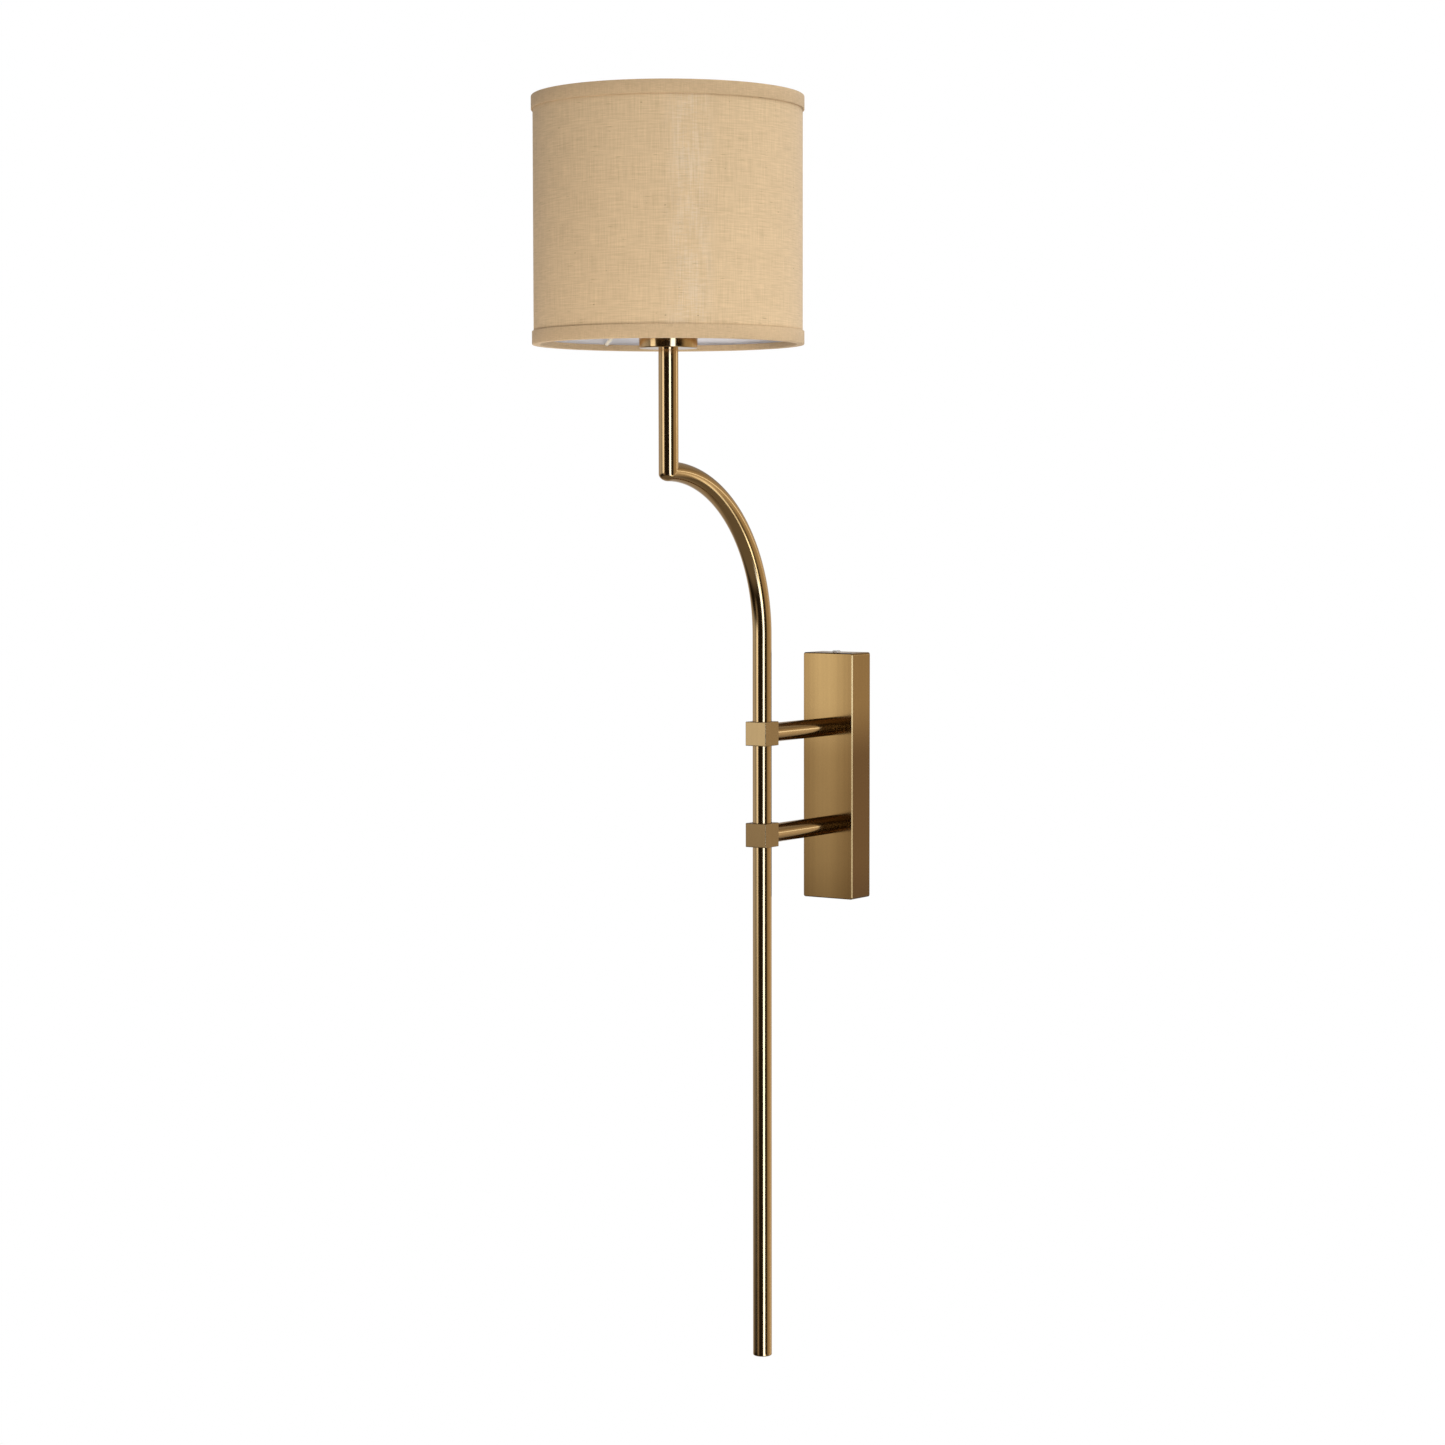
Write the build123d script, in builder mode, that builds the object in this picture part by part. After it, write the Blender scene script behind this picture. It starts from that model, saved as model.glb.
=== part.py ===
from build123d import *
import os
from math import asin, cos, degrees, radians, sin, sqrt

# A wall sconce: a box backplate, two arms with cube collars, and a bent stem that swings in them.
# Millimetres. The wall is the plane Y = 0, the lamp faces -Y, and +Z is up.
# The origin is the middle of the backplate's back, half way between the two arms.

# Clearances
THREAD_GAP = 0.05  # radial, a thread or spigot in its hole
RUNNING_GAP = 0.05  # radial, the stem in its bushes
PASS_GAP = 0.25  # radial, a screw or nipple through a plain hole
SEAT_GAP = 0.05  # between pieces that rest on each other
BUSH_FIT = 0.02  # radial, a bush in its collar

# Backplate cover
PLATE_WIDTH = 47.0
PLATE_HEIGHT = 200.0
PLATE_DEPTH = 27.0
PLATE_WALL = 1.5
PLATE_CORNER = 1.8
PLATE_EDGE = 0.8

# Wall bracket
BRACKET_THICKNESS = 2.0
BRACKET_SIDE_GAP = 4.0
BRACKET_END_GAP = 0.5
EAR_WIDTH = 20.0
EAR_BEYOND_SCREW = 6.0
WALL_SCREW_SPACING = 83.3
WALL_SLOT_LENGTH = 20.0
WALL_SLOT_RADIUS = 2.5
WIRE_HOLE_RADIUS = 8.0

# Cover screws
COVER_SCREW_RADIUS = 2.0
COVER_SCREW_LENGTH = 8.0
COVER_HEAD_RADIUS = 3.25
COVER_HEAD_HEIGHT = 1.4
DRIVE_SLOT_WIDTH = 1.0
DRIVE_SLOT_DEPTH = 0.8

# Terminal block
BLOCK_WIDTH = 24.0
BLOCK_HEIGHT = 17.0
BLOCK_DEPTH = 13.0
BLOCK_POLE_PITCH = 8.0
BLOCK_POLES = 3
BLOCK_FROM_EAR = 7.0
BLOCK_EDGE = 1.0
POLE_BORE_RADIUS = 1.6
CLAMP_SCREW_RADIUS = 1.5
CLAMP_SCREW_LENGTH = 5.0
CLAMP_SCREW_SINK = 1.0
FIXING_SCREW_RADIUS = 1.25
FIXING_HEAD_RADIUS = 2.2
FIXING_HEAD_HEIGHT = 1.4

# Earth screw
EARTH_FROM_EAR = 15.0
EARTH_SCREW_RADIUS = 2.0
EARTH_HEAD_RADIUS = 4.0
EARTH_HEAD_HEIGHT = 2.6
EARTH_WASHER_RADIUS = 4.8
EARTH_WASHER_THICKNESS = 1.0

# Arms and what fixes them
ARM_RADIUS = 7.5
ARM_WALL = 1.0
ARM_LENGTH = 87.0
COLLAR_SPACING = 80.0
INSERT_LENGTH = 14.0
NIPPLE_RADIUS = 5.0
NIPPLE_BORE_RADIUS = 3.75
NIPPLE_GRIP = 12.0
NIPPLE_SPARE = 2.0
WASHER_RADIUS = 10.0
WASHER_THICKNESS = 1.2
NUT_FLATS = 14.0
NUT_HEIGHT = 4.0

# Stem
TUBE_RADIUS = 7.5
TUBE_WALL = 1.0
STEM_BELOW_COLLAR = 416.2
STEM_ABOVE_COLLAR = 77.5
BEND_RADIUS = 127.0
RISER_LENGTH = 91.7
TUBE_END_ROUND = 0.8
PLUG_LENGTH = 6.0

# Collars, bushes and swing stop
BUSH_WALL = 0.42
COLLAR_WALL = 1.5
COLLAR_EDGE = 0.5
BUSH_INSET = 0.5
SPIGOT_LENGTH = 12.0
SWING_LIMIT = 90.0
STOP_MARGIN = 1.0
STOP_SCREW_RADIUS = 2.0
STOP_SCREW_SINK = 0.3
STOP_SOCKET_FLATS = 2.0
STOP_SOCKET_DEPTH = 0.9
DOG_RADIUS = 1.4
DOG_TIP_GAP = 0.2
DOG_SIDE_GAP = 0.2

# Lead
LEAD_RADIUS = 2.7
LEAD_SLOT_GAP = 0.6
LEAD_BLOCK_BEND = 8.0
LEAD_COLLAR_BEND = 5.0
LEAD_RISER_BEND = 8.0
LEAD_AXIS_TAIL = 1.0
LEAD_ENDS_GAP = 0.3
LEAD_HOLDER_TAIL = 4.0

# Bulb
CAP_RADIUS = 13.0
CAP_LENGTH = 21.0
CAP_GROOVE_PITCH = 3.63
CAP_GROOVE_DEPTH = 0.6
CAP_PLAIN_END = 1.5
TIP_RADIUS = 4.5
TIP_HEIGHT = 1.5
INSULATOR_TOP_RADIUS = 11.5
INSULATOR_FOOT_RADIUS = 6.0
INSULATOR_HEIGHT = 4.0
BULB_LENGTH = 108.0
GLOBE_RADIUS = 30.0
GLOBE_WALL = 1.2
GLOBE_SKIRT = 10.0
NECK_COLLAR_RADIUS = 13.2
NECK_COLLAR_HEIGHT = 4.0
NECK_BULGE = 1.5

# Lampholder and its cup
SHELL_GAP = 0.15
SHELL_WALL = 0.4
SHELL_LIP = 5.0
HOLDER_WALL = 5.3
HOLDER_MOUTH = 2.9
HOLDER_FLOOR = 4.0
HOLDER_SKIRT = 7.0
SKIRT_WALL = 2.0
FLANGE_RISE = 18.8
FLANGE_THICKNESS = 1.6
FLANGE_REACH = 5.0
BASE_HEIGHT = 20.0
BASE_WALL = 2.5
BASE_DROP_IN = 0.6
HOLDER_NUT_HEIGHT = 3.5
CONTACT_RADIUS = 3.5
CONTACT_HEIGHT = 2.4
TIP_GAP = 0.1
CUP_GAP = 1.7
CUP_WALL = 1.1
CUP_BASE = 1.5
CUP_HEIGHT = 24.0
CUP_EDGE = 0.8
CUP_DRAFT = 3.5

# Shade
SHADE_RISE = 2.6
SHADE_HEIGHT = 183.8
LINEN_RADIUS = 100.6
LINEN_WALL = 0.7
LINER_WALL = 0.6
FRAME_WIRE_RADIUS = 1.25
SPOKE_RADIUS = 1.3
SPOKE_COUNT = 3
SPOKE_ANGLE = 35.0
SPOKE_KNEE = 2.5
SPOKE_STUB = 3.0
SPOKE_BEND = 2.5
FITTER_RIM = 8.5
FITTER_THICKNESS = 1.6
FITTER_GAP = 0.5
CLAMP_RING_RIM = 7.0
CLAMP_RING_HEIGHT = 8.0
CLAMP_RING_NOTCHES = 24
CLAMP_NOTCH_RADIUS = 1.0
TRIM_HEIGHT = 10.0
TRIM_WALL = 1.2
TRIM_WEB = 0.8
TRIM_INNER_WALL = 0.8
TRIM_INNER_HEIGHT = 4.5
TRIM_ROUND = 0.5

# Places worked out from the sizes above
BUSH_INNER = TUBE_RADIUS + RUNNING_GAP
BUSH_OUTER = BUSH_INNER + BUSH_WALL
COLLAR_BORE = BUSH_OUTER + BUSH_FIT
COLLAR_SIDE = 2 * (COLLAR_BORE + COLLAR_WALL)
TUBE_BORE = TUBE_RADIUS - TUBE_WALL
ARM_BORE = ARM_RADIUS - ARM_WALL

UPPER_Z = COLLAR_SPACING / 2
LOWER_Z = -COLLAR_SPACING / 2
STEM_Y = -(PLATE_DEPTH + ARM_LENGTH + COLLAR_SIDE / 2)
LAMP_Y = STEM_Y - BEND_RADIUS
STEM_BOTTOM = LOWER_Z - STEM_BELOW_COLLAR
BEND_START = UPPER_Z + STEM_ABOVE_COLLAR
MITRE_Z = BEND_START + BEND_RADIUS
CUP_BOTTOM = MITRE_Z + RISER_LENGTH

COVER_INNER_TOP = PLATE_HEIGHT / 2 - PLATE_WALL
EAR_TOP = COVER_INNER_TOP - BRACKET_END_GAP
EAR_UNDER = EAR_TOP - BRACKET_THICKNESS
SCREW_DEPTH = PLATE_DEPTH / 2
BLOCK_Z = EAR_UNDER - BLOCK_FROM_EAR - BLOCK_HEIGHT / 2
BLOCK_FRONT = BRACKET_THICKNESS + BLOCK_DEPTH
LEAD_Y = -(BRACKET_THICKNESS + BLOCK_DEPTH / 2)
EARTH_Z = -(EAR_UNDER - EARTH_FROM_EAR)
COVER_INNER_FRONT = PLATE_DEPTH - PLATE_WALL
NUT_BACK = COVER_INNER_FRONT - WASHER_THICKNESS
NIPPLE_INNER_END = NUT_BACK - NUT_HEIGHT - NIPPLE_SPARE

HOLDER_NUT_Z = CUP_BOTTOM + CUP_BASE
BASE_Z = HOLDER_NUT_Z + HOLDER_NUT_HEIGHT
BODY_Z = BASE_Z + BASE_HEIGHT
FLOOR_Z = BODY_Z + HOLDER_SKIRT
SOCKET_Z = FLOOR_Z + HOLDER_FLOOR
CONTACT_TOP = SOCKET_Z + CONTACT_HEIGHT
TIP_Z = CONTACT_TOP + TIP_GAP
INSULATOR_Z = TIP_Z + TIP_HEIGHT
CAP_Z = INSULATOR_Z + INSULATOR_HEIGHT
NECK_Z = CAP_Z + CAP_LENGTH
HOLDER_TOP = NECK_Z + HOLDER_MOUTH
GLOBE_Z = TIP_Z + BULB_LENGTH - GLOBE_RADIUS
GLOBE_SEAT_Z = GLOBE_Z - GLOBE_SKIRT
GLOBE_SEAT_RADIUS = sqrt(GLOBE_RADIUS**2 - GLOBE_SKIRT**2)
SHELL_INNER = CAP_RADIUS + SHELL_GAP
SHELL_OUTER = SHELL_INNER + SHELL_WALL
HOLDER_BORE = SHELL_OUTER + THREAD_GAP
HOLDER_RADIUS = HOLDER_BORE + HOLDER_WALL
CUP_RADIUS = HOLDER_RADIUS + CUP_GAP + CUP_WALL
FLANGE_Z = BODY_Z + FLANGE_RISE
FITTER_Z = FLANGE_Z + SEAT_GAP
CLAMP_RING_Z = FITTER_Z + FITTER_THICKNESS + SEAT_GAP
FITTER_INNER = HOLDER_RADIUS + FITTER_GAP
FITTER_OUTER = FITTER_INNER + FITTER_RIM

SHADE_BOTTOM = CUP_BOTTOM + SHADE_RISE
SHADE_TOP = SHADE_BOTTOM + SHADE_HEIGHT
LINEN_INNER = LINEN_RADIUS - LINEN_WALL
LINER_OUTER = LINEN_INNER - SEAT_GAP
LINER_INNER = LINER_OUTER - LINER_WALL
WIRE_RING_RADIUS = LINER_INNER - FRAME_WIRE_RADIUS - SEAT_GAP
TRIM_INNER = LINEN_RADIUS + SEAT_GAP
TRIM_OUTER = TRIM_INNER + TRIM_WALL
TRIM_LIP_OUTER = WIRE_RING_RADIUS - FRAME_WIRE_RADIUS - SEAT_GAP
TRIM_LIP_INNER = TRIM_LIP_OUTER - TRIM_INNER_WALL
FABRIC_BOTTOM = SHADE_BOTTOM + TRIM_WEB + SEAT_GAP
FABRIC_TOP = SHADE_TOP - TRIM_WEB - SEAT_GAP
WIRE_BOTTOM_Z = FABRIC_BOTTOM + FRAME_WIRE_RADIUS
WIRE_TOP_Z = FABRIC_TOP - FRAME_WIRE_RADIUS

# Sections and axes
LAMP_SECTION = Plane(origin=(0, LAMP_Y, 0), x_dir=(1, 0, 0), z_dir=(0, -1, 0))
LAMP_AXIS = Axis((0, LAMP_Y, 0), (0, 0, 1))
STEM_AXIS = Axis((0, STEM_Y, 0), (0, 0, 1))
MITRE_PLANE = Plane(origin=(0, LAMP_Y, MITRE_Z), x_dir=(1, 0, 0), z_dir=(0, 1, -1))

os.makedirs("parts", exist_ok=True)


def save(piece: BuildPart, name: str) -> None:
    """Label a finished piece and write it as one STEP file."""
    piece.part.label = name
    export_step(piece.part, f"parts/{name}.step")


def lamp_plane(height: float) -> Plane:
    """A level plane on the lamp's own axis."""
    return Plane(origin=(0, LAMP_Y, height))


def stem_plane(height: float) -> Plane:
    """A level plane on the axis that the stem swings about."""
    return Plane(origin=(0, STEM_Y, height))


def wall_plane(depth: float) -> Plane:
    """An upright plane that stands off the wall and faces the room."""
    return Plane.XZ.offset(depth)


def upright_plane(axis_y: float, angle: float, height: float) -> Plane:
    """An upright plane through a vertical axis, with its X pointing away from the axis at an angle."""
    turn = radians(angle)
    return Plane(
        origin=(0, axis_y, height),
        x_dir=(cos(turn), sin(turn), 0),
        z_dir=(sin(turn), -cos(turn), 0),
    )


def sleeve(plane: Plane, outer: float, inner: float, length: float) -> BuildPart:
    """A plain round sleeve that rises from a plane."""
    with BuildPart() as made:
        with BuildSketch(plane):
            Circle(outer)
            Circle(inner, mode=Mode.SUBTRACT)
        extrude(amount=length)
    return made


def torus_wire(ring_radius: float, wire_radius: float, height: float) -> BuildPart:
    """A closed ring of round wire about the lamp's axis."""
    with BuildPart() as made:
        with BuildSketch(LAMP_SECTION):
            with Locations((ring_radius, height)):
                Circle(wire_radius)
        revolve(axis=LAMP_AXIS)
    return made


# Backplate cover: a box pressed from sheet, open at the back
with BuildPart() as backplate_cover:
    with BuildSketch(wall_plane(0)):
        RectangleRounded(PLATE_WIDTH, PLATE_HEIGHT, PLATE_CORNER)
    extrude(amount=PLATE_DEPTH)
    chamfer(backplate_cover.faces().sort_by(Axis.Y)[0].edges(), length=PLATE_EDGE)
    with BuildSketch(wall_plane(0)):
        Rectangle(PLATE_WIDTH - 2 * PLATE_WALL, PLATE_HEIGHT - 2 * PLATE_WALL)
    extrude(amount=COVER_INNER_FRONT, mode=Mode.SUBTRACT)
    with BuildSketch(wall_plane(COVER_INNER_FRONT)):
        with Locations((0, UPPER_Z), (0, LOWER_Z)):
            Circle(NIPPLE_RADIUS + PASS_GAP)
    extrude(amount=PLATE_WALL, mode=Mode.SUBTRACT)
    with BuildSketch(Plane.XY.offset(-PLATE_HEIGHT / 2)):
        with Locations((0, -SCREW_DEPTH)):
            Circle(COVER_SCREW_RADIUS + PASS_GAP)
    extrude(amount=PLATE_HEIGHT, mode=Mode.SUBTRACT)
save(backplate_cover, "backplate_cover")

# Wall bracket: a steel strap with its two ends bent out from the wall
with BuildPart() as wall_bracket:
    with BuildSketch(wall_plane(0)):
        Rectangle(PLATE_WIDTH - 2 * PLATE_WALL - 2 * BRACKET_SIDE_GAP, 2 * EAR_TOP)
    extrude(amount=BRACKET_THICKNESS)
    with BuildSketch(wall_plane(BRACKET_THICKNESS)):
        with Locations((0, EAR_TOP), (0, -EAR_TOP)):
            Rectangle(EAR_WIDTH, 2 * BRACKET_THICKNESS)
        Rectangle(EAR_WIDTH, 2 * EAR_TOP, mode=Mode.INTERSECT)
    extrude(amount=SCREW_DEPTH + EAR_BEYOND_SCREW - BRACKET_THICKNESS)
    with BuildSketch(wall_plane(0)):
        Circle(WIRE_HOLE_RADIUS)
        with Locations((0, WALL_SCREW_SPACING / 2), (0, -WALL_SCREW_SPACING / 2)):
            SlotOverall(WALL_SLOT_LENGTH, 2 * WALL_SLOT_RADIUS, rotation=90)
        with Locations((BLOCK_POLE_PITCH / 2, BLOCK_Z), (-BLOCK_POLE_PITCH / 2, BLOCK_Z)):
            Circle(FIXING_SCREW_RADIUS + THREAD_GAP)
        with Locations((0, EARTH_Z)):
            Circle(EARTH_SCREW_RADIUS + THREAD_GAP)
    extrude(amount=BRACKET_THICKNESS, mode=Mode.SUBTRACT)
    with BuildSketch(Plane.XY.offset(-EAR_TOP)):
        with Locations((0, -SCREW_DEPTH)):
            Circle(COVER_SCREW_RADIUS + THREAD_GAP)
    extrude(amount=2 * EAR_TOP, mode=Mode.SUBTRACT)
save(wall_bracket, "wall_bracket")

# Cover screws: one from above and one from below
COVER_SCREW_TOP = Plane(origin=(0, -SCREW_DEPTH, PLATE_HEIGHT / 2))
with BuildPart() as cover_screws:
    with BuildSketch(COVER_SCREW_TOP):
        Circle(COVER_HEAD_RADIUS)
    extrude(amount=COVER_HEAD_HEIGHT)
    fillet(cover_screws.edges().sort_by(Axis.Z)[-1], radius=COVER_HEAD_HEIGHT / 2)
    with BuildSketch(COVER_SCREW_TOP):
        Circle(COVER_SCREW_RADIUS)
    extrude(amount=-COVER_SCREW_LENGTH)
    with BuildSketch(COVER_SCREW_TOP.offset(COVER_HEAD_HEIGHT - DRIVE_SLOT_DEPTH)):
        Rectangle(3 * COVER_HEAD_RADIUS, DRIVE_SLOT_WIDTH)
    extrude(amount=DRIVE_SLOT_DEPTH, mode=Mode.SUBTRACT)
    mirror(about=Plane.XY)
save(cover_screws, "cover_screws")

# Terminal block: three poles side by side, wires entering from above and below
BLOCK_BACK = Plane(origin=(0, -BRACKET_THICKNESS, BLOCK_Z), x_dir=(1, 0, 0), z_dir=(0, -1, 0))
CLAMP_ROW_PITCH = BLOCK_HEIGHT / 2
CLAMP_SCREW_FOOT = BLOCK_DEPTH - CLAMP_SCREW_SINK - CLAMP_SCREW_LENGTH
with BuildPart() as terminal_block:
    with BuildSketch(BLOCK_BACK):
        RectangleRounded(BLOCK_WIDTH, BLOCK_HEIGHT, BLOCK_EDGE)
    extrude(amount=BLOCK_DEPTH)
    with BuildSketch(BLOCK_BACK):
        with GridLocations(BLOCK_POLE_PITCH, 0, BLOCK_POLES - 1, 1):
            Circle(FIXING_SCREW_RADIUS + PASS_GAP)
    extrude(amount=BLOCK_DEPTH, mode=Mode.SUBTRACT)
    with BuildSketch(BLOCK_BACK.offset(CLAMP_SCREW_FOOT)):
        with GridLocations(BLOCK_POLE_PITCH, CLAMP_ROW_PITCH, BLOCK_POLES, 2):
            Circle(CLAMP_SCREW_RADIUS + THREAD_GAP)
    extrude(amount=BLOCK_DEPTH - CLAMP_SCREW_FOOT, mode=Mode.SUBTRACT)
    with BuildSketch(Plane(origin=(0, LEAD_Y, BLOCK_Z - BLOCK_HEIGHT / 2))):
        with GridLocations(BLOCK_POLE_PITCH, 0, BLOCK_POLES, 1):
            Circle(POLE_BORE_RADIUS)
    extrude(amount=BLOCK_HEIGHT, mode=Mode.SUBTRACT)
save(terminal_block, "terminal_block")

# Terminal clamp screws, sunk in the block's front
with BuildPart() as terminal_clamp_screws:
    with BuildSketch(BLOCK_BACK.offset(CLAMP_SCREW_FOOT)):
        with GridLocations(BLOCK_POLE_PITCH, CLAMP_ROW_PITCH, BLOCK_POLES, 2):
            Circle(CLAMP_SCREW_RADIUS)
    extrude(amount=CLAMP_SCREW_LENGTH)
    with BuildSketch(BLOCK_BACK.offset(CLAMP_SCREW_FOOT + CLAMP_SCREW_LENGTH - DRIVE_SLOT_DEPTH)):
        with GridLocations(BLOCK_POLE_PITCH, CLAMP_ROW_PITCH, BLOCK_POLES, 2):
            Rectangle(DRIVE_SLOT_WIDTH / 2, 3 * CLAMP_SCREW_RADIUS)
    extrude(amount=DRIVE_SLOT_DEPTH, mode=Mode.SUBTRACT)
save(terminal_clamp_screws, "terminal_clamp_screws")

# Terminal fixing screws, from the block's front into the strap
with BuildPart() as terminal_fixing_screws:
    with BuildSketch(wall_plane(0)):
        with Locations((0, BLOCK_Z)):
            with GridLocations(BLOCK_POLE_PITCH, 0, BLOCK_POLES - 1, 1):
                Circle(FIXING_SCREW_RADIUS)
    extrude(amount=BLOCK_FRONT)
    with BuildSketch(wall_plane(BLOCK_FRONT)):
        with Locations((0, BLOCK_Z)):
            with GridLocations(BLOCK_POLE_PITCH, 0, BLOCK_POLES - 1, 1):
                Circle(FIXING_HEAD_RADIUS)
    extrude(amount=FIXING_HEAD_HEIGHT)
save(terminal_fixing_screws, "terminal_fixing_screws")

# Earth screw with its captive cup washer
EARTH_HEAD_FOOT = BRACKET_THICKNESS + EARTH_WASHER_THICKNESS
with BuildPart() as earth_screw:
    with BuildSketch(wall_plane(0)):
        with Locations((0, EARTH_Z)):
            Circle(EARTH_SCREW_RADIUS)
    extrude(amount=EARTH_HEAD_FOOT)
    with BuildSketch(wall_plane(BRACKET_THICKNESS)):
        with Locations((0, EARTH_Z)):
            Circle(EARTH_WASHER_RADIUS)
    extrude(amount=EARTH_WASHER_THICKNESS)
    with BuildSketch(wall_plane(EARTH_HEAD_FOOT)):
        with Locations((0, EARTH_Z)):
            Circle(EARTH_HEAD_RADIUS)
    extrude(amount=EARTH_HEAD_HEIGHT)
    with BuildSketch(wall_plane(EARTH_HEAD_FOOT + EARTH_HEAD_HEIGHT - DRIVE_SLOT_DEPTH)):
        with Locations((0, EARTH_Z)):
            Rectangle(3 * EARTH_HEAD_RADIUS, DRIVE_SLOT_WIDTH)
    extrude(amount=DRIVE_SLOT_DEPTH, mode=Mode.SUBTRACT)
save(earth_screw, "earth_screw")

# Arms: two plain tubes between the cover and the collars
for arm_name, arm_z in (("upper_arm", UPPER_Z), ("lower_arm", LOWER_Z)):
    arm_foot = Plane(origin=(0, -PLATE_DEPTH, arm_z), x_dir=(1, 0, 0), z_dir=(0, -1, 0))
    save(sleeve(arm_foot, ARM_RADIUS, ARM_BORE, ARM_LENGTH), arm_name)

# Arm inserts: threaded plugs in the wall ends of the arms
with BuildPart() as arm_inserts:
    with BuildSketch(wall_plane(PLATE_DEPTH)):
        with Locations((0, UPPER_Z), (0, LOWER_Z)):
            Circle(ARM_BORE - THREAD_GAP)
            Circle(NIPPLE_RADIUS + THREAD_GAP, mode=Mode.SUBTRACT)
    extrude(amount=INSERT_LENGTH)
save(arm_inserts, "arm_inserts")

# Arm nipples: hollow threads from the inserts to inside the cover
with BuildPart() as arm_nipples:
    with BuildSketch(wall_plane(NIPPLE_INNER_END)):
        with Locations((0, UPPER_Z), (0, LOWER_Z)):
            Circle(NIPPLE_RADIUS)
            Circle(NIPPLE_BORE_RADIUS, mode=Mode.SUBTRACT)
    extrude(amount=PLATE_DEPTH + NIPPLE_GRIP - NIPPLE_INNER_END)
save(arm_nipples, "arm_nipples")

# Arm washers, against the inside of the cover's front
with BuildPart() as arm_washers:
    with BuildSketch(wall_plane(NUT_BACK)):
        with Locations((0, UPPER_Z), (0, LOWER_Z)):
            Circle(WASHER_RADIUS)
            Circle(NIPPLE_RADIUS + PASS_GAP, mode=Mode.SUBTRACT)
    extrude(amount=WASHER_THICKNESS)
save(arm_washers, "arm_washers")

# Arm nuts, which draw the arms up to the cover
with BuildPart() as arm_nuts:
    with BuildSketch(wall_plane(NUT_BACK - NUT_HEIGHT)):
        with Locations((0, UPPER_Z), (0, LOWER_Z)):
            RegularPolygon(NUT_FLATS / 2, 6, major_radius=False)
            Circle(NIPPLE_RADIUS + THREAD_GAP, mode=Mode.SUBTRACT)
    extrude(amount=NUT_HEIGHT)
save(arm_nuts, "arm_nuts")


def make_collar(height: float) -> BuildPart:
    """A cube with an upright bore and a spigot that enters its arm."""
    back = Plane(origin=(0, STEM_Y + COLLAR_SIDE / 2, height), x_dir=(1, 0, 0), z_dir=(0, 1, 0))
    with BuildPart() as made:
        with BuildSketch(stem_plane(height - COLLAR_SIDE / 2)):
            Rectangle(COLLAR_SIDE, COLLAR_SIDE)
        extrude(amount=COLLAR_SIDE)
        fillet(made.edges(), radius=COLLAR_EDGE)
        with BuildSketch(back):
            Circle(ARM_BORE - THREAD_GAP)
        extrude(amount=SPIGOT_LENGTH)
        with BuildSketch(back.offset(SPIGOT_LENGTH)):
            Circle(NIPPLE_BORE_RADIUS)
        extrude(amount=-(SPIGOT_LENGTH + COLLAR_SIDE / 2), mode=Mode.SUBTRACT)
        with BuildSketch(stem_plane(height - COLLAR_SIDE / 2)):
            Circle(COLLAR_BORE)
        extrude(amount=COLLAR_SIDE, mode=Mode.SUBTRACT)
    return made


save(make_collar(UPPER_Z), "upper_collar")

# Lower collar, with a tapped hole in its hidden side for the stop screw
STOP_FACE = Plane(origin=(-COLLAR_SIDE / 2, STEM_Y, LOWER_Z), x_dir=(0, 1, 0), z_dir=(1, 0, 0))
plain_lower_collar = make_collar(LOWER_Z)
with BuildPart() as lower_collar:
    add(plain_lower_collar.part)
    with BuildSketch(STOP_FACE):
        Circle(STOP_SCREW_RADIUS + THREAD_GAP)
    extrude(amount=COLLAR_SIDE / 2, mode=Mode.SUBTRACT)
save(lower_collar, "lower_collar")

# Bushes: the upper one has a window for the lead, the lower one for the stop screw
BUSH_LENGTH = COLLAR_SIDE - 2 * BUSH_INSET
with BuildPart() as upper_bush:
    with BuildSketch(stem_plane(UPPER_Z - BUSH_LENGTH / 2)):
        Circle(BUSH_OUTER)
        Circle(BUSH_INNER, mode=Mode.SUBTRACT)
    extrude(amount=BUSH_LENGTH)
    with BuildSketch(Plane(origin=(0, STEM_Y, UPPER_Z), x_dir=(1, 0, 0), z_dir=(0, 1, 0))):
        Circle(NIPPLE_BORE_RADIUS)
    extrude(amount=COLLAR_SIDE, mode=Mode.SUBTRACT)
save(upper_bush, "upper_bush")

with BuildPart() as lower_bush:
    with BuildSketch(stem_plane(LOWER_Z - BUSH_LENGTH / 2)):
        Circle(BUSH_OUTER)
        Circle(BUSH_INNER, mode=Mode.SUBTRACT)
    extrude(amount=BUSH_LENGTH)
    with BuildSketch(STOP_FACE):
        Circle(STOP_SCREW_RADIUS + PASS_GAP)
    extrude(amount=COLLAR_SIDE / 2, mode=Mode.SUBTRACT)
save(lower_bush, "lower_bush")

# Stop screw: its dog point rides in a slot of the stem
STOP_BODY_LENGTH = COLLAR_SIDE / 2 - STOP_SCREW_SINK - (BUSH_OUTER + BUSH_INNER) / 2
DOG_LENGTH = (BUSH_OUTER + BUSH_INNER) / 2 - TUBE_BORE - DOG_TIP_GAP
with BuildPart() as stop_screw:
    with BuildSketch(STOP_FACE.offset(STOP_SCREW_SINK)):
        Circle(STOP_SCREW_RADIUS)
    extrude(amount=STOP_BODY_LENGTH)
    with BuildSketch(STOP_FACE.offset(STOP_SCREW_SINK + STOP_BODY_LENGTH)):
        Circle(DOG_RADIUS)
    extrude(amount=DOG_LENGTH)
    with BuildSketch(STOP_FACE.offset(STOP_SCREW_SINK)):
        RegularPolygon(STOP_SOCKET_FLATS / 2, 6, major_radius=False)
    extrude(amount=STOP_SOCKET_DEPTH, mode=Mode.SUBTRACT)
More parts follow.
